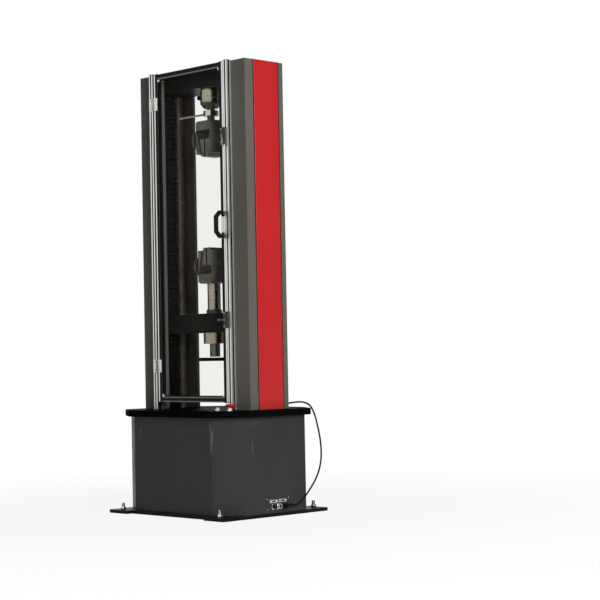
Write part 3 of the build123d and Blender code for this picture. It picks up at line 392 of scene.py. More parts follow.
def extruded_aluminium(name, colour, along):
    """Anodised extrusion with die lines along its length."""
    finish = Finish(name, colour, roughness=0.34, metallic=0.85)
    finish.mottle(scale=6.0, amount=0.05)
    finish.wear(scale=500.0, amount=0.08, stretch=along)
    finish.grain(scale=900.0, strength=0.05, height=0.0002, stretch=along)
    return finish.material


def clear_sheet(name, colour):
    """Clear guard pane that lets the lamps' light through."""
    finish = Finish(name, colour, roughness=0.02)
    finish.put("Transmission Weight", 1.0)
    finish.put("IOR", 1.06)
    finish.wear(scale=3.0, amount=0.012)
    clear = new_node(finish.tree, "ShaderNodeBsdfTransparent", {"Color": (0.95, 0.95, 0.94, 1.0)})
    path = finish.tree.nodes.new("ShaderNodeLightPath")
    finish.cover(clear.outputs["BSDF"], path.outputs["Is Shadow Ray"])
    return finish.material


def moulded(name, colour, roughness):
    """Moulded plastic or rubber with a fine spark-eroded grain."""
    finish = Finish(name, colour, roughness)
    finish.mottle(scale=30.0, amount=0.10)
    finish.wear(scale=40.0, amount=0.07)
    finish.grain(scale=1400.0, strength=0.15, height=0.0002)
    finish.put("Specular IOR Level", 0.12)
    return finish.material


def pleated_cloth(name, colour):
    """Coated cloth with a woven relief and dust on the folds."""
    finish = Finish(name, colour, roughness=0.55)
    noise = finish.noise(scale=40.0, detail=5.0, stretch=(1, 1, 2))
    dust = finish.spread(noise, low=0.0, high=0.4, start=0.50, end=0.80)
    finish.mottle(scale=12.0, amount=0.20, patches=dust, patch_colour=(0.022, 0.023, 0.026))
    finish.grain(scale=1600.0, strength=0.20, height=0.0003)
    finish.put("Specular IOR Level", 0.06)
    return finish.material


def material_of(kind):
    """One of the machine's finishes by name, made the first time that it is asked for."""
    name = f"tester_{kind}"
    if name in bpy.data.materials:
        return bpy.data.materials[name]
    paint = bpy.context.scene.tester_paint
    upright_lines, level_lines = (1.0, 1.0, 0.01), (0.01, 1.0, 1.0)
    makers = {
        "column_coat": (powder_coat, paint.column_grey),
        "latch_coat": (powder_coat, paint.latch_grey),
        "cabinet_coat": (scuffed_coat, paint.cabinet_charcoal),
        "side_gloss": (sprayed_paint, paint.side_red, 0.30, 0.30, 0.30),
        "table_paint": (sprayed_paint, paint.table_black, 0.50, 0.002, 0.0),
        "satin_black": (satin_paint, paint.frame_black),
        # Painted shade inside the column covers.
        "cover_primer": (satin_paint, paint.cover_inside_shade),
        "zinc_plate": (plated_metal, paint.bright_steel, 0.26, 1.0),
        "tin_plate": (plated_metal, paint.tin, 0.30, 0.80),
        "bar_plate": (plated_metal, paint.tin, 0.35, 0.10),
        # Painted reflection: the warm tint of this steel stands in for warm surroundings mirrored in it.
        "polished_steel": (turned_metal, paint.polished_steel, 0.25),
        "ground_steel": (turned_metal, paint.bright_steel, 0.30),
        "jaw_steel": (turned_metal, paint.jaw_steel, 0.38),
        "phosphate_steel": (phosphate_metal, paint.phosphate),
        "oiled_steel": (phosphate_metal, paint.oiled_steel),
        "aluminium_upright": (extruded_aluminium, paint.aluminium, upright_lines),
        # Painted shade: the level rails' aluminium is a darker copy of the upright one.
        "aluminium_level": (extruded_aluminium, paint.shaded_aluminium, level_lines),
        "clear_sheet": (clear_sheet, paint.clear_pane),
        "moulded_black": (moulded, paint.mould_black, 0.45),
        "cable_jacket": (moulded, paint.mould_black, 0.60),
        "stop_red": (moulded, paint.stop_red, 0.28),
        "button_white": (moulded, paint.button_white, 0.25),
        "bellows_cloth": (pleated_cloth, paint.cloth_black),
    }
    maker, *values = makers[kind]
    return maker(name, *values)


def verts_of(geom):
    """The vertices in what an operator gives back."""
    return [g for g in geom if isinstance(g, bmesh.types.BMVert)]


def edges_of(verts):
    """The edges that meet a few vertices."""
    return list({e for v in verts for e in v.link_edges})


def bevel(bm, geom, width, segments=2, affect="EDGES"):
    """Round edges or corners by a width."""
    bmesh.ops.bevel(bm, geom=geom, offset=width, offset_type="OFFSET", segments=segments, profile=0.5,
                    affect=affect, clamp_overlap=True, material=-1)


def round_edges(bm, width, segments=2):
    """Break every hard edge with a small round."""
    hard = [e for e in bm.edges if len(e.link_faces) == 2 and e.calc_face_angle(0.0) > HARD_ANGLE]
    bevel(bm, hard, width, segments)
    bmesh.ops.dissolve_degenerate(bm, dist=TINY, edges=bm.edges)


def shade(bm):
    """Smooth faces with sharp creases where the shape turns hard."""
    for face in bm.faces:
        face.smooth = True
    for edge in bm.edges:
        edge.smooth = len(edge.link_faces) == 2 and edge.calc_face_angle(0.0) < HARD_ANGLE


def new_piece(name, bm, kind, body=None, replaced=(), outward=True):
    """Turn a bmesh into a piece of the machine that rides on a body."""
    if outward:
        bmesh.ops.recalc_face_normals(bm, faces=bm.faces)
    shade(bm)
    mesh = bpy.data.meshes.new(name)
    bm.to_mesh(mesh)
    bm.free()
    mesh.materials.append(material_of(kind))
    piece = bpy.data.objects.new(name, mesh)
    bpy.context.scene.collection.objects.link(piece)
    if body:
        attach(piece, body)
    if replaced:
        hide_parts(*replaced)
    return piece


def black_trim(name, bm, body):
    """New piece of moulded black."""
    return new_piece(name, bm, "moulded_black", body)


def bright_trim(name, bm, body, kind="zinc_plate", replaced=()):
    """New piece of bright metal."""
    return new_piece(name, bm, kind, body, replaced)


def take_in(bm, part):
    """Add one bmesh to another, and free it."""
    mesh = bpy.data.meshes.new("part")
    part.to_mesh(mesh)
    part.free()
    bm.from_mesh(mesh)
    bpy.data.meshes.remove(mesh)


def joined_copy(node):
    """The solid of a node as one closed mesh with flat faces whole."""
    bm = bmesh.new()
    bm.from_mesh(frame["nodes"][node].data)
    bmesh.ops.remove_doubles(bm, verts=bm.verts, dist=WELD)
    bmesh.ops.dissolve_limit(bm, angle_limit=FLAT_ANGLE, verts=bm.verts, edges=bm.edges)
    for face in bm.faces:
        face.material_index = 0
    return bm


def dress(node, kind, segments=2):
    """Finish a solid: as it is, or as a copy with rounded edges that stands for it."""
    if node not in EDGE_ROUND:
        for place in frame["nodes"][node].material_slots:
            place.material = material_of(kind)
        return frame["nodes"][node]
    bm = joined_copy(node)
    round_edges(bm, EDGE_ROUND[node], segments)
    piece = new_piece(f"{node}_finished", bm, kind, BODY_OF[node], [node], outward=False)
    piece.modifiers.new("flat_faces", "WEIGHTED_NORMAL").keep_sharp = True
    return piece


def two_tone(node, kind, second_kind, chosen):
    """Finish a rounded solid, with a second finish on the faces that a test picks."""
    piece = dress(node, kind)
    piece.data.materials.append(material_of(second_kind))
    for face in piece.data.polygons:
        face.material_index = int(chosen(face))


def box(bm, low, high, edge=0.0):
    """Block between two corners."""
    low, high = Vector(low), Vector(high)
    place = Matrix.Translation((low + high) / 2) @ Matrix.Diagonal((*(high - low), 1.0))
    verts = bmesh.ops.create_cube(bm, size=1.0, matrix=place)["verts"]
    if edge:
        bevel(bm, edges_of(verts), edge)


def rod(bm, start, end, radius, segments=24):
    """Round bar between two points."""
    start, end = Vector(start), Vector(end)
    along = end - start
    place = Matrix.Translation((start + end) / 2) @ along.to_track_quat("Z", "Y").to_matrix().to_4x4()
    return bmesh.ops.create_cone(bm, cap_ends=True, segments=segments, radius1=radius, radius2=radius,
                                 depth=along.length, matrix=place)["verts"]


def screw(bm, place, outward, radius, height):
    """Socket-head screw standing on a point."""
    rim_share, socket_share = 0.42, 0.6
    place = Vector(place)
    verts = rod(bm, place, place + outward * height, radius, segments=16)
    faces = {f for v in verts for f in v.link_faces}
    top = max(faces, key=lambda f: f.calc_center_median().dot(outward))
    bmesh.ops.inset_region(bm, faces=[top], thickness=radius * rim_share)
    floor = bmesh.ops.extrude_discrete_faces(bm, faces=[top])["faces"][0]
    bmesh.ops.translate(bm, vec=-outward * height * socket_share, verts=floor.verts)


def lathe(bm, outline, centre, steps):
    """Spin an outline of (radius, height) points round an upright axis."""
    centre = Vector((*centre, 0.0))
    verts = [bm.verts.new(centre + Vector((r, 0.0, z))) for r, z in outline]
    edges = [bm.edges.new(pair) for pair in zip(verts, verts[1:])]
    bmesh.ops.spin(bm, geom=verts + edges, cent=centre, axis=(0, 0, 1), angle=2 * math.pi, steps=steps,
                   use_merge=True)
    bmesh.ops.remove_doubles(bm, verts=bm.verts, dist=TINY)


def upright_ring(bm, low, high, border, depth):
    """Rectangular ring in the XZ plane, carried back along Y."""
    corners = [(low.x, low.z), (high.x, low.z), (high.x, high.z), (low.x, high.z)]
    face = bm.faces.new([bm.verts.new((x, low.y, z)) for x, z in corners])
    bm.normal_update()
    ring = bmesh.ops.inset_region(bm, faces=[face], thickness=border, use_boundary=True,
                                  use_even_offset=True)["faces"]
    bmesh.ops.delete(bm, geom=[face], context="FACES")
    back = bmesh.ops.extrude_face_region(bm, geom=ring)["geom"]
    bmesh.ops.translate(bm, vec=(0, depth, 0), verts=verts_of(back))


def slot_strip(bm, start, end, outward, width, trim):
    """Black strip along a slot: a lip on the profile's face and a stem in the slot's mouth. It is a cover
    strip, and its black also stands in for the shade in the slot.
    """
    stem_play = 0.0002
    start, end, outward = Vector(start), Vector(end), Vector(outward)
    across = (end - start).normalized().cross(outward)
    lip = (width / 2, 0.0, trim.strip_lip)
    stem = (trim.slot_width / 2 - stem_play, -trim.strip_depth, 0.0)
    for half, inner, outer in (lip, stem):
        corners = (start - across * half + outward * inner, end + across * half + outward * outer)
        box(bm, [min(pair) for pair in zip(*corners)], [max(pair) for pair in zip(*corners)])


class PieceOperator:
    """What the machine's operators share: plain finishes come first, and then what is built on them."""
    bl_options = {"REGISTER", "UNDO"}
    plain = {}

    def execute(self, context):
        for node, kind in self.plain.items():
            dress(node, kind)
        self.build(context.scene.tester_trim)
        return {"FINISHED"}

    def build(self, trim):
        """Nothing more, for pieces with a plain finish alone."""


class TESTER_OT_base(PieceOperator, bpy.types.Operator):
    """Finish the floor plate and cut threads on the levelling bolts"""
    bl_idname = "tester.base"
    bl_label = "Floor plate and feet"
    plain = {"floor_plate": "satin_black"}
    nut_radius = 0.0135
    nut_height = 0.013
    nut_edge = 0.0011
    bolt_radius = 0.008
    thread_depth = 0.0007
    tip_share = 0.7

    def build(self, trim):
        low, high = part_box("levelling_feet")
        plate_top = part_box("floor_plate")[1].z
        nut_top = plate_top + self.nut_height
        half_flats = self.nut_radius * math.cos(math.radians(30))
        bm = bmesh.new()
        for x in (low.x + self.nut_radius, high.x - self.nut_radius):
            for y in (low.y + half_flats, high.y - half_flats):
                self.bolt(bm, (x, y), high.z, trim.thread_pitch)
                nut = rod(bm, (x, y, plate_top), (x, y, nut_top), self.nut_radius, segments=6)
                bevel(bm, edges_of(nut), self.nut_edge)
        bright_trim("levelling_bolts", bm, "frame", replaced=["levelling_feet"])

    def bolt(self, bm, place, top, pitch):
        """Threaded stud from the floor to its pointed top."""
        root = self.bolt_radius - self.thread_depth
        turns = int(top / pitch) - 1
        outline = [(0.0, 0.0)]
        for i in range(turns):
            outline += [(root, i * pitch), (self.bolt_radius, (i + 0.5) * pitch)]
        outline += [(root, turns * pitch), (self.bolt_radius * self.tip_share, top), (0.0, top)]
        lathe(bm, outline, place, steps=20)


class TESTER_OT_cabinet(PieceOperator, bpy.types.Operator):
    """Finish the cabinet's panels and press hoods over the rear louvres"""
    bl_idname = "tester.cabinet"
    bl_label = "Cabinet"
    plain = {"cabinet_front": "cabinet_coat", "cabinet_rear": "cabinet_coat",
             "cabinet_sides": "cabinet_coat", "cabinet_corners": "cabinet_coat"}
    hood_pitch = 0.024
    hood_out = 0.1125
    hood_drop = 0.004
    hood_size = (0.0785, 0.0085, 0.0115)
    hood_sheet = 0.0010

    def build(self, trim):
        low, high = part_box("cabinet_rear")
        lowest = (low.z + high.z - (trim.louvre_rows - 1) * self.hood_pitch) / 2 - self.hood_drop
        bm = bmesh.new()
        for row in range(trim.louvre_rows):
            for side in SIDES:
                self.hood(bm, (side * self.hood_out, high.y, lowest + row * self.hood_pitch))
        new_piece("louvre_hoods", bm, "cabinet_coat", "frame")

    def hood(self, bm, place):
        """One pressed hood: a quarter of a flattened ball with sheet thickness, open below."""
        one = bmesh.new()
        bmesh.ops.create_uvsphere(one, u_segments=28, v_segments=14, radius=1.0)
        for plane in ((0, -1, 0), (0, 0, -1)):
            geom = one.verts[:] + one.edges[:] + one.faces[:]
            bmesh.ops.bisect_plane(one, geom=geom, dist=1e-5, plane_co=(0, 0, 0), plane_no=plane,
                                   clear_outer=True)
        bmesh.ops.scale(one, vec=self.hood_size, verts=one.verts)
        bmesh.ops.recalc_face_normals(one, faces=one.faces)
        bmesh.ops.solidify(one, geom=one.faces[:], thickness=self.hood_sheet)
        bmesh.ops.translate(one, vec=place, verts=one.verts)
        take_in(bm, one)


class TESTER_OT_connectors(PieceOperator, bpy.types.Operator):
    """Finish the connector panel and fit faces, posts and pins to its sockets"""
    bl_idname = "tester.connectors"
    bl_label = "Connector panel"
    plain = {"connector_panel": "cabinet_coat"}
    ports_y = (-0.030, 0.026)
    port_rise = 0.013
    port_depth = 0.007
    insert_low = Vector((-0.0010, -0.0115, -0.0032))
    insert_high = Vector((0.0005, 0.0115, 0.0032))
    post_out, post_radius, post_height = 0.0195, 0.0026, 0.0030
    pin_rows = ((0.0016, 5), (-0.0016, 4))
    pin_pitch, pin_radius, pin_height = 0.0036, 0.0006, 0.0012
    sockets_y = (-0.024, 0.008)
    socket_drop = 0.012
    black_end = -0.008
    flange_low = Vector((0.0, -0.0135, -0.0130))
    flange_high = Vector((0.0012, 0.0135, 0.0130))
    flange_edge = 0.0005
    well_floor, well_sunk, well_proud, well_radius = 0.009, 0.0010, 0.0006, 0.0079
    prong_circle, prong_radius, prong_height = 0.0042, 0.0008, 0.0026
    corner_y, corner_z, corner_radius, corner_height = 0.067, 0.024, 0.0028, 0.0016

    def build(self, trim):
        low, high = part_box("connector_panel")
        middle = (low + high) / 2
        black_y = middle.y + self.black_end
        two_tone("panel_connectors", "tin_plate", "moulded_black",
                 lambda face: face.center.z < middle.z - FINE_EDGE and face.center.y < black_y)
        dark, pins, flanges = bmesh.new(), bmesh.new(), bmesh.new()
        for y in self.ports_y:
            self.port(dark, pins, Vector((high.x + self.port_depth, middle.y + y, middle.z + self.port_rise)))
        for y in self.sockets_y:
            self.socket(dark, pins, flanges, Vector((high.x, middle.y + y, middle.z - self.socket_drop)))
        for side in SIDES:
            for end in SIDES:
                corner = (high.x, middle.y + side * self.corner_y, middle.z + end * self.corner_z)
                screw(pins, corner, RIGHT, self.corner_radius, self.corner_height)
        bright_trim("socket_flanges", flanges, "frame", "tin_plate")
        black_trim("port_faces", dark, "frame")
        bright_trim("port_pins", pins, "frame")

    def port(self, dark, pins, face):
        """Flat port: a dark insert with two rows of pins, between two threaded posts."""
        box(dark, face + self.insert_low, face + self.insert_high, FINE_EDGE)
        for side in SIDES:
            post = face + Vector((0, side * self.post_out, 0))
            screw(pins, post, RIGHT, self.post_radius, self.post_height)
        for rise, count in self.pin_rows:
            for i in range(count):
                pin = face + Vector((0, (i - (count - 1) / 2) * self.pin_pitch, rise))
                rod(pins, pin, pin + RIGHT * self.pin_height, self.pin_radius, segments=8)

    def socket(self, dark, pins, flanges, base):
        """Round socket: a square flange, and four prongs on the dark floor of its well."""
        box(flanges, base + self.flange_low, base + self.flange_high, self.flange_edge)
        floor = base + RIGHT * self.well_floor
        rod(dark, floor - RIGHT * self.well_sunk, floor + RIGHT * self.well_proud, self.well_radius)
        for quarter in range(4):
            turn = math.radians(45 + 90 * quarter)
            pin = floor + Vector((0, math.cos(turn), math.sin(turn))) * self.prong_circle
            rod(pins, pin, pin + RIGHT * self.prong_height, self.prong_radius, segments=8)


class TESTER_OT_table(PieceOperator, bpy.types.Operator):
    """Finish the table plate"""
    bl_idname = "tester.table"
    bl_label = "Table"

    def build(self, trim):
        dress("table_plate", "table_paint", segments=3)


class TESTER_OT_columns(PieceOperator, bpy.types.Operator):
    """Finish the column covers, side panels and tie bar, and lay black strips of painted shadow beside the
    side panels
    """
    bl_idname = "tester.columns"
    bl_label = "Columns"
    plain = {"side_panels": "side_gloss", "rear_tie_bar": "satin_black"}
    cover_skin = 0.0015
    strip_height = 0.0022

    def build(self, trim):
        for side in ("left", "right"):
            self.cover(f"column_cover_{side}")
        low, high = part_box("side_panels")
        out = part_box("column_cover_right")[1].x
        # Painted shadow along the side panels' front and rear edges.
        bm = bmesh.new()
        for side in SIDES:
            near, far = sorted((side * out, side * (out + self.strip_height)))
            for front, back in ((low.y - trim.edge_shadow_strip, low.y), (high.y, high.y + trim.edge_shadow_strip)):
                box(bm, (near, front, low.z), (far, back, high.z), FINE_EDGE)
        black_trim("panel_shadow_strips", bm, "frame")

    def cover(self, node):
        """Column cover: coat outside, and a browner colour on the walls inside that is painted shade."""
        low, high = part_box(node)
        skin = self.cover_skin

        def inside(face):
            x, y = face.center.xy
            upright = abs(face.normal.z) < 0.5
            return upright and low.x + skin < x < high.x - skin and low.y + skin < y < high.y - skin

        two_tone(node, "column_coat", "cover_primer", inside)


class TESTER_OT_drive(PieceOperator, bpy.types.Operator):
    """Finish what is inside: screws, guides, bearings, motor, belt and drive"""
    bl_idname = "tester.drive"
    bl_label = "Drive"
    plain = {
        "ball_screw_left": "ground_steel", "ball_screw_right": "ground_steel", "ball_nuts": "ground_steel",
        "screw_bearings": "ground_steel", "motor_pulley": "ground_steel", "guide_columns": "oiled_steel",
        "guide_bushes": "phosphate_steel", "motor_bracket": "satin_black", "servo_motor": "satin_black",
        "drive_belt": "cable_jacket", "servo_drive": "moulded_black", "top_beam": "satin_black",
    }


class TESTER_OT_bellows(PieceOperator, bpy.types.Operator):
    """Fold the pleated bellows round the screws"""
    bl_idname = "tester.bellows"
    bl_label = "Bellows"
    corner_round = 0.012

    def build(self, trim):
        middle = sum(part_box("ball_screw_right"), Vector()) / 2
        for node, fixed_top, pitch in (("upper_bellows", True, trim.pleat_pitch),
                                       ("lower_bellows", False, trim.packed_pitch)):
            low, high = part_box(node)
            half = (high.x - middle.x, (high.y - low.y) / 2)
            bm = bmesh.new()
            for side in SIDES:
                self.sleeve(bm, (side * middle.x, middle.y), half, (low.z, high.z), pitch, trim.pleat_depth)
            piece = new_piece(f"{node}_folds", bm, "bellows_cloth", None, [node])
            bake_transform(piece)

    def sleeve(self, bm, place, half, span, pitch, depth):
        """Rectangular sleeve, extruded fold by fold from its lower rim."""
        bottom, top = span
        half_x, half_y = half
        folds = 2 * max(2, round((top - bottom) / pitch))
        step = (top - bottom) / folds
        shrink = Vector((1 - depth / half_x, 1 - depth / half_y, 1.0))
        swell = Vector((1 / shrink.x, 1 / shrink.y, 1.0))
        one = bmesh.new()
        bmesh.ops.create_grid(one, x_segments=1, y_segments=1, size=1.0)
        bmesh.ops.scale(one, vec=(half_x, half_y, 1.0), verts=one.verts)
        bevel(one, one.verts[:], self.corner_round, 3, "VERTICES")
        rim = one.edges[:]
        bmesh.ops.scale(one, vec=shrink, verts=one.verts)
        bmesh.ops.translate(one, vec=(0, 0, bottom), verts=one.verts)
        for fold in range(folds):
            grown = bmesh.ops.extrude_edge_only(one, edges=rim)["geom"]
            verts = verts_of(grown)
            rim = [g for g in grown if isinstance(g, bmesh.types.BMEdge) and all(v in verts for v in g.verts)]
            bmesh.ops.translate(one, vec=(0, 0, step), verts=verts)
            bmesh.ops.scale(one, vec=shrink if fold % 2 else swell, verts=verts)
        bmesh.ops.edgeloop_fill(one, edges=rim)
        bmesh.ops.translate(one, vec=(*place, 0), verts=one.verts)
        take_in(bm, one)


class TESTER_OT_crosshead(PieceOperator, bpy.types.Operator):
    """Finish the moving crosshead and the adapters on it"""
    bl_idname = "tester.crosshead"
    bl_label = "Crosshead"
    plain = {"moving_crosshead": "satin_black"}
    spigot_drop = 0.0525
    flange_height = 0.0195

    def build(self, trim):
        low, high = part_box("moving_crosshead")
        two_tone("lower_adapter", "polished_steel", "jaw_steel",
                 lambda face: face.center.z < low.z - self.spigot_drop)
        two_tone("lower_grip_base", "polished_steel", "phosphate_steel",
                 lambda face: face.center.z < high.z + self.flange_height)


class TESTER_OT_load_train(PieceOperator, bpy.types.Operator):
    """Finish the load cell with its plug, the adapter and the lock ring"""
    bl_idname = "tester.load_train"
    bl_label = "Load train"
    plain = {"upper_adapter": "phosphate_steel", "lock_ring": "zinc_plate", "tommy_bar": "bar_plate"}
    plug_x = -0.0503

    def build(self, trim):
        two_tone("load_cell", "polished_steel", "moulded_black", lambda face: face.center.x < self.plug_x)


class TESTER_OT_grips(PieceOperator, bpy.types.Operator):
    """Finish the wedge grips, cut teeth on the jaws and fit the wheels' hubs"""
    bl_idname = "tester.grips"
    bl_label = "Wedge grips"
    tooth_margin = 0.0015
    tooth_root = 0.0004
    washer_radius, washer_height, washer_sunk = 0.0140, 0.0018, 0.0002
    hub_radius, hub_height = 0.0085, 0.0050

    def build(self, trim):
        for word in ("upper", "lower"):
            dress(f"{word}_grip_body", "phosphate_steel")
            dress(f"{word}_hand_wheel", "phosphate_steel")
            for hand, side in (("left", -1), ("right", 1)):
                dress(f"{word}_jaw_{hand}", "jaw_steel")
                self.teeth(f"{word}_jaw_{hand}", side, trim)
            self.hub(word)

    def teeth(self, node, side, trim):
        """Level teeth across the jaw's gripping face."""
        low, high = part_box(node)
        middle = (low + high) / 2
        half_y = (high.y - low.y) / 2 - self.tooth_margin
        half_z = (high.z - low.z) / 2 - self.tooth_margin
        rows = 2 * round(2 * half_z / trim.tooth_pitch)
        step = 2 * half_z / rows
        bm = bmesh.new()
        bmesh.ops.create_grid(bm, x_segments=rows, y_segments=1, size=1.0,
                              matrix=Matrix.Rotation(math.radians(90), 4, "Y"))
        bmesh.ops.scale(bm, vec=(1.0, half_y, half_z), verts=bm.verts)
        for vert in bm.verts:
            vert.co.x = -side * trim.tooth_height * (round((vert.co.z + half_z) / step) % 2)
        back = bmesh.ops.extrude_face_region(bm, geom=bm.faces[:])["geom"]
        for vert in verts_of(back):
            vert.co.x = side * self.tooth_root
        face_x = low.x if side > 0 else high.x
        bmesh.ops.translate(bm, vec=(face_x, middle.y, middle.z), verts=bm.verts)
        new_piece(f"{node}_teeth", bm, "jaw_steel", BODY_OF[node])

    def hub(self, word):
        """Bright washer and screw in the middle of the hand wheel."""
        node = f"{word}_hand_wheel"
        low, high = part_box(node)
        middle = (low + high) / 2
        seat = Vector((low.x, middle.y, middle.z))
        washer_top = seat - RIGHT * self.washer_height
        bm = bmesh.new()
        rod(bm, seat + RIGHT * self.washer_sunk, washer_top, self.washer_radius)
        screw(bm, washer_top, -RIGHT, self.hub_radius, self.hub_height)
        bright_trim(f"{word}_wheel_hub", bm, BODY_OF[node])


class TESTER_OT_door(PieceOperator, bpy.types.Operator):
    """Finish the guard door and fit its gasket, brackets and caps, and black strips that are partly painted
    shade
    """
    bl_idname = "tester.door"
    bl_label = "Guard door"
    plain = {"door_posts": "aluminium_upright", "door_stiles": "aluminium_upright",
             "door_rails": "aluminium_level", "door_pane": "clear_sheet"}
    bracket_back, bracket_edge = 0.0005, 0.0008
    nose_share, screw_share = 0.3, 0.32
    screw_radius, screw_height = 0.0030, 0.0010
    cap_edge = 0.0012

    def build(self, trim):
        self.gasket(trim)
        self.brackets(trim)
        self.caps("post_caps", "door_posts", "frame", trim, feet=False)
        self.caps("stile_caps", "door_stiles", "door", trim, feet=True)
        self.post_strips(trim)
        self.stile_strips(trim)
        self.rail_strips(trim)

    def opening(self, trim):
        """Corners of the door's clear opening."""
        low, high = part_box("door_stiles")
        inset = Vector((trim.profile, 0, trim.profile))
        return low + inset, high - inset

    def gasket(self, trim):
        """Black gasket round the pane, and black rings of painted shade on the profiles' inner faces beside
        it.
        """
        low, high = self.opening(trim)
        pane_low, pane_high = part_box("door_pane")
        front = pane_low.y - trim.gasket_lip
        back = pane_high.y + trim.gasket_lip
        rings = ((low.y + trim.strip_lip, front, trim.shade_lining), (front, back, trim.gasket_width),
                 (back, high.y - trim.strip_lip, trim.shade_lining))
        bm = bmesh.new()
        for start, end, border in rings:
            upright_ring(bm, Vector((low.x, start, low.z)), high, border, end - start)
        black_trim("pane_gasket_and_shade_lining", bm, "door")

    def brackets(self, trim):
        """Bright angle blocks in the four inner corners, in front of the pane."""
        low, high = self.opening(trim)
        front = low.y + self.bracket_back
        leg = trim.bracket_leg
        nose = leg * self.nose_share
        inward = leg * self.screw_share
        outline = ((0, 0), (leg, 0), (leg, nose), (nose, leg), (0, leg))
        corners = [(x, right, z, up) for x, right in ((low.x, 1), (high.x, -1))
                   for z, up in ((low.z, 1), (high.z, -1))]
        bm = bmesh.new()
        for x, right, z, up in corners:
            face = bm.faces.new([bm.verts.new((x + right * a, front, z + up * b)) for a, b in outline])
            grown = bmesh.ops.extrude_face_region(bm, geom=[face])["geom"]
            bmesh.ops.translate(bm, vec=(0, trim.bracket_depth, 0), verts=verts_of(grown))
        bmesh.ops.recalc_face_normals(bm, faces=bm.faces)
        round_edges(bm, self.bracket_edge)
        for x, right, z, up in corners:
            place = (x + right * inward, front, z + up * inward)
            screw(bm, place, FRONT, self.screw_radius, self.screw_height)
        new_piece("corner_brackets", bm, "aluminium_upright", "door")

    def caps(self, name, node, body, trim, feet):
        """Black caps on the profiles' open ends, at the top and, with feet, below."""
        low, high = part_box(node)
        ends = [(high.z, high.z + trim.cap_height)]
        if feet:
            ends.append((low.z - trim.cap_height, low.z))
        bm = bmesh.new()
        for x in (low.x, high.x - trim.profile):
            for bottom, top in ends:
                box(bm, (x, low.y, bottom), (x + trim.profile, high.y, top), self.cap_edge)
        black_trim(name, bm, body)

    def uprights(self, node, trim):
        """The two profiles of a node: middle x, outward side, low and high corner, middle y."""
        low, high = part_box(node)
        for x, outer in ((low.x + trim.profile / 2, -1), (high.x - trim.profile / 2, 1)):
            yield x, outer, low, high, (low.y + high.y) / 2

    def post_strips(self, trim):
        """Strips on the posts: over the slots in front and outside, and a wide black strip of painted shade
        towards the door.
        """
        bm = bmesh.new()
        for x, outer, low, high, middle_y in self.uprights("door_posts", trim):
            slot_strip(bm, (x, low.y, low.z), (x, low.y, high.z), FRONT, trim.strip_width, trim)
            for side in SIDES:
                edge = x + side * trim.profile / 2
                width = trim.strip_width if side == outer else trim.gap_shade_width
                slot_strip(bm, (edge, middle_y, low.z), (edge, middle_y, high.z), (side, 0, 0), width, trim)
        black_trim("post_strips", bm, "frame")

    def stile_strips(self, trim):
        """Strips on the stiles, and black strips of painted shade on their inner lands, left out between the
        handle's feet.
        """
        handle_low, handle_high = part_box("door_handle")
        bm = bmesh.new()
        for x, outer, low, high, middle_y in self.uprights("door_stiles", trim):
            runs = [(low.z, high.z)] if outer < 0 else [(low.z, handle_low.z), (handle_high.z, high.z)]
            # Painted shade on the stile's inner land.
            shaded_land = x - outer * (trim.profile - trim.land_shade) / 2
            for bottom, top in runs:
                for line, width in ((x, trim.strip_width), (shaded_land, trim.land_shade)):
                    slot_strip(bm, (line, low.y, bottom), (line, low.y, top), FRONT, width, trim)
            edge = x + outer * trim.profile / 2
            slot_strip(bm, (edge, middle_y, low.z), (edge, middle_y, high.z), (outer, 0, 0),
                       trim.strip_width, trim)
        black_trim("stile_strips", bm, "door")

    def rail_strips(self, trim):
        """Black strips of painted shade on the front of the rails, and strips over their outer slots."""
        low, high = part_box("door_rails")
        middle_y = (low.y + high.y) / 2
        lower = (low.z, -1, low.z + trim.profile / 2, trim.lower_rail_shade)
        upper = (high.z, 1, high.z - trim.top_rail_shade / 2, trim.top_rail_shade)
        bm = bmesh.new()
        for edge, up, z, width in (lower, upper):
            slot_strip(bm, (low.x, low.y, z), (high.x, low.y, z), FRONT, width, trim)
            slot_strip(bm, (low.x, middle_y, edge), (high.x, middle_y, edge), (0, 0, up),
                       trim.strip_width, trim)
        black_trim("rail_strips", bm, "door")


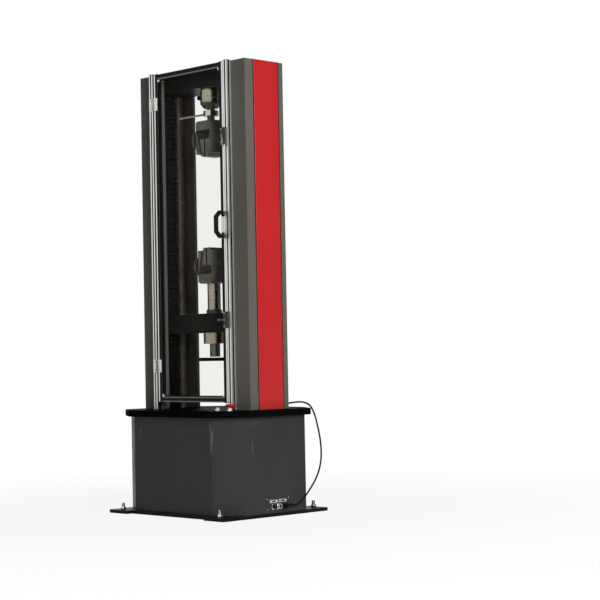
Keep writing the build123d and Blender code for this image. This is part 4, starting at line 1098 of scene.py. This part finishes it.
class TESTER_OT_door_fittings(PieceOperator, bpy.types.Operator):
    """Finish the hinges, handle and latches and put in their screws"""
    bl_idname = "tester.door_fittings"
    bl_label = "Door fittings"
    plain = {"latch_bases": "latch_coat", "latch_lever_upper": "jaw_steel", "latch_lever_lower": "jaw_steel"}
    leaf_thick = 0.0025
    hinge_middle, hinge_step = 0.030, 0.018
    latch_middle, latch_step = 0.038, 0.030
    handle_round = 0.0035

    def build(self, trim):
        self.handle(trim)
        stile_low, stile_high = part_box("door_stiles")
        post_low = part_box("door_posts")[0]
        knuckles = (post_low.x + trim.profile, stile_low.x)
        for node, beside, body, name in (("hinge_fixed_leaves", post_low, "frame", "post_hinge_screws"),
                                         ("hinge_door_leaves", stile_low, "door", "door_hinge_screws")):
            two_tone(node, "tin_plate", "jaw_steel", lambda face: knuckles[0] < face.center.x < knuckles[1])
            place = (beside.x + trim.profile / 2, beside.y - self.leaf_thick)
            self.screws(name, node, body, place, self.hinge_middle, self.hinge_step, trim)
        latch_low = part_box("latch_bases")[0]
        place = ((latch_low.x + stile_high.x) / 2, latch_low.y)
        self.screws("latch_screws", "latch_bases", "door", place, self.latch_middle, self.latch_step, trim)

    def screws(self, name, node, body, place, middle, step, trim):
        """A pair of screws in the lowest and in the highest fitting of a node."""
        low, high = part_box(node)
        bm = bmesh.new()
        for z in (low.z + middle, high.z - middle):
            for side in SIDES:
                screw(bm, (*place, z + side * step), FRONT, trim.screw_radius, trim.screw_height)
        bright_trim(name, bm, body, "ground_steel")

    def handle(self, trim):
        """Pull handle with its bar swelled to a full grip in front of the feet."""
        bm = joined_copy("door_handle")
        feet_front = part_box("door_stiles")[0].y - trim.handle_foot
        round_edges(bm, self.handle_round, 3)
        bm.normal_update()
        grip = [v for v in bm.verts if v.co.y < feet_front]
        moves = [v.normal * (trim.handle_swell * v.calc_shell_factor()) for v in grip]
        for vert, move in zip(grip, moves):
            vert.co += move
        new_piece("door_handle_finished", bm, "moulded_black", "door",
                  ["door_handle"], outward=False)


class TESTER_OT_controls(PieceOperator, bpy.types.Operator):
    """Finish the emergency stop and the push buttons"""
    bl_idname = "tester.controls"
    bl_label = "Controls"
    plain = {"estop_stem": "moulded_black", "estop_head": "stop_red", "button_left": "button_white",
             "button_right": "button_white"}
    rim_height = 0.0025

    def build(self, trim):
        low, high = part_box("estop_head")
        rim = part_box("table_plate")[1].z + self.rim_height
        two_tone("control_bezels", "tin_plate", "moulded_black",
                 lambda face: face.center.z < rim or low.y < face.center.y < high.y)


class TESTER_OT_cable(PieceOperator, bpy.types.Operator):
    """Lay the signal cable from its gland to its plug"""
    bl_idname = "tester.cable"
    bl_label = "Signal cable"
    plain = {"cable_gland": "moulded_black"}
    route = (
        (0.340, 0.135, 0.509), (0.340, 0.151, 0.509), (0.345, 0.166, 0.511), (0.354, 0.180, 0.513),
        (0.367, 0.190, 0.514), (0.384, 0.196, 0.513), (0.403, 0.196, 0.510), (0.424, 0.193, 0.504),
        (0.442, 0.192, 0.492), (0.454, 0.194, 0.473), (0.461, 0.200, 0.447), (0.462, 0.209, 0.415),
        (0.461, 0.221, 0.378), (0.460, 0.232, 0.333), (0.459, 0.238, 0.272), (0.457, 0.231, 0.221),
        (0.453, 0.218, 0.181), (0.448, 0.201, 0.148), (0.442, 0.181, 0.119), (0.436, 0.160, 0.092),
        (0.431, 0.141, 0.070), (0.427, 0.122, 0.054), (0.424, 0.103, 0.046), (0.424, 0.084, 0.046),
    )

    def build(self, trim):
        plug = dress("cable_plug", "moulded_black")
        curve = bpy.data.curves.new("signal_cable_run", "CURVE")
        curve.dimensions = "3D"
        curve.bevel_depth = trim.cable_radius
        curve.bevel_resolution = 4
        curve.resolution_u = 8
        curve.use_fill_caps = True
        line = curve.splines.new("NURBS")
        line.points.add(len(self.route) - 1)
        for point, place in zip(line.points, self.route):
            point.co = (*place, 1.0)
        line.order_u = 3
        line.use_endpoint_u = True
        curve.materials.append(material_of("cable_jacket"))
        cable = bpy.data.objects.new("signal_cable_run", curve)
        bpy.context.scene.collection.objects.link(cable)
        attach(cable, "frame")
        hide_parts("signal_cable")


class TESTER_OT_stage(bpy.types.Operator):
    """Set the floor, the lamps and the camera"""
    bl_idname = "tester.stage"
    bl_label = "Stage"
    bl_options = {"REGISTER", "UNDO"}
    floor_radius = 40.0

    def execute(self, context):
        scene = context.scene
        stage = scene.tester_stage
        scene.view_settings.view_transform = "Standard"
        self.floor(scene, stage)
        self.sky(scene, stage)
        self.lamp(scene, "key_lamp", stage.key_power,
                  place=(5.6, -1.9, 2.6), target=(0.1, 0.0, 1.0), size=(2.2, 2.2))
        self.lamp(scene, "strip_lamp", stage.strip_power,
                  place=(2.1, -5.6, 1.3), target=(0.2, -0.2, 1.0), size=(1.0, 2.6))
        self.lamp(scene, "top_lamp", stage.top_power,
                  place=(0.6, 0.6, 5.0), target=(0.0, 0.0, 0.5), size=(3.0, 3.0))
        self.lamp(scene, "fill_lamp", stage.fill_power,
                  place=(-4.5, 3.5, 2.8), target=(0.0, 0.0, 1.0), size=(3.0, 3.0))
        self.camera(scene, stage)
        return {"FINISHED"}

    def white_rays(self, tree, mirror):
        """1 for what the camera and clear things see, mirror for shiny things, and 0 for light on things."""
        path = tree.nodes.new("ShaderNodeLightPath").outputs
        shiny = maths(tree, "GREATER_THAN", path["Glossy Depth"], 0.5)
        mirrored = maths(tree, "MULTIPLY", shiny, mirror)
        direct = maths(tree, "LESS_THAN", path["Glossy Depth"], 0.5)
        through = maths(tree, "MULTIPLY", path["Is Transmission Ray"], direct)
        unscattered = maths(tree, "LESS_THAN", path["Diffuse Depth"], 0.5)
        seen = maths(tree, "MULTIPLY", maths(tree, "MAXIMUM", mirrored, through), unscattered)
        return maths(tree, "MAXIMUM", seen, path["Is Camera Ray"])

    def floor(self, scene, stage):
        """Wide pale floor that keeps the machine's shadow and turns to plain white further out."""
        finish = Finish("pale_floor", stage.floor_grey, roughness=0.8)
        finish.put("Specular IOR Level", 0.1)
        tree = finish.tree
        glow = tree.nodes.new("ShaderNodeEmission")
        away = tree.nodes.new("ShaderNodeVectorMath")
        away.operation = "LENGTH"
        finish.join(finish.coords, away.inputs[0])
        white = ramp(tree, away.outputs["Value"], stage.floor_near, stage.floor_far, stage.floor_glow, 1.0)
        share = maths(tree, "MULTIPLY", white, self.white_rays(tree, stage.floor_mirror))
        finish.cover(glow.outputs["Emission"], share)
        bm = bmesh.new()
        bmesh.ops.create_circle(bm, cap_ends=True, segments=64, radius=self.floor_radius)
        mesh = bpy.data.meshes.new("pale_floor")
        bm.to_mesh(mesh)
        bm.free()
        mesh.materials.append(finish.material)
        floor = bpy.data.objects.new("pale_floor", mesh)
        scene.collection.objects.link(floor)

    def sky(self, scene, stage):
        """White behind everything, a lower even light on things, and a pale wall for shiny things."""
        world = bpy.data.worlds.new("studio_white")
        world.use_nodes = True
        scene.world = world
        tree = world.node_tree
        facing = tree.nodes.new("ShaderNodeVectorMath")
        facing.operation = "DOT_PRODUCT"
        facing.inputs[1].default_value = stage.wall_side
        tree.links.new(tree.nodes.new("ShaderNodeTexCoord").outputs["Generated"], facing.inputs[0])
        wall = ramp(tree, facing.outputs["Value"], stage.wall_edge, stage.wall_middle, stage.mirror_level,
                    stage.wall_level)
        level = maths(tree, "MAXIMUM", self.white_rays(tree, wall), stage.sky_level)
        background = tree.nodes["Background"]
        background.inputs["Color"].default_value = (1.0, 1.0, 1.0, 1.0)
        tree.links.new(level, background.inputs["Strength"])

    def lamp(self, scene, name, power, place, target, size):
        """Soft lamp that looks at a point, with its width and height, unseen by the camera."""
        data = bpy.data.lights.new(name, "AREA")
        data.energy = power
        data.shape = "RECTANGLE"
        data.size, data.size_y = size
        lamp = bpy.data.objects.new(name, data)
        lamp.location = place
        aim = Vector(target) - Vector(place)
        lamp.rotation_euler = aim.to_track_quat("-Z", "Y").to_euler()
        lamp.visible_camera = False
        lamp.visible_transmission = False
        scene.collection.objects.link(lamp)

    def camera(self, scene, stage):
        """Camera at the viewing angle of the picture."""
        turn, pitch, roll = stage.camera_turn, stage.camera_pitch, stage.camera_roll
        back = Vector((math.sin(turn) * math.cos(pitch), -math.cos(turn) * math.cos(pitch), math.sin(pitch)))
        right = (-back).cross(Vector((0, 0, 1))).normalized()
        up = right.cross(-back)
        tilted_right = math.cos(roll) * right + math.sin(roll) * up
        tilted_up = -math.sin(roll) * right + math.cos(roll) * up
        data = bpy.data.cameras.new("main_camera")
        data.lens = stage.camera_lens
        data.sensor_width = 36.0
        camera = bpy.data.objects.new("main_camera", data)
        columns = Matrix((tilted_right, tilted_up, back)).transposed().to_4x4()
        camera.matrix_world = Matrix.Translation(stage.camera_place) @ columns
        scene.collection.objects.link(camera)
        scene.camera = camera


OPERATORS = (
    TESTER_OT_cable, TESTER_OT_base, TESTER_OT_cabinet, TESTER_OT_connectors, TESTER_OT_table,
    TESTER_OT_columns, TESTER_OT_drive, TESTER_OT_bellows, TESTER_OT_crosshead, TESTER_OT_load_train,
    TESTER_OT_grips, TESTER_OT_door, TESTER_OT_door_fittings, TESTER_OT_controls, TESTER_OT_stage,
)


class TESTER_PT_panel(bpy.types.Panel):
    """Steps that dress the machine"""
    bl_idname = "TESTER_PT_panel"
    bl_label = "Testing machine"
    bl_space_type = "VIEW_3D"
    bl_region_type = "UI"
    bl_category = "Tester"

    def draw(self, context):
        for operator in OPERATORS:
            self.layout.operator(operator.bl_idname)


GROUPS = {"tester_paint": TesterPaint, "tester_trim": TesterTrim, "tester_stage": TesterStage}
CLASSES = (*GROUPS.values(), *OPERATORS, TESTER_PT_panel)


def register():
    """Add the classes and the scene's settings."""
    for each in CLASSES:
        bpy.utils.register_class(each)
    for name, group in GROUPS.items():
        setattr(bpy.types.Scene, name, PointerProperty(type=group))


def unregister():
    """Take the settings and the classes away again."""
    for name in GROUPS:
        delattr(bpy.types.Scene, name)
    for each in reversed(CLASSES):
        bpy.utils.unregister_class(each)


def main():
    """Dress the machine, step by step."""
    register()
    for operator in OPERATORS:
        group, name = operator.bl_idname.split(".")
        getattr(getattr(bpy.ops, group), name)()
    bpy.context.view_layer.update()


if __name__ == "__main__":
    main()
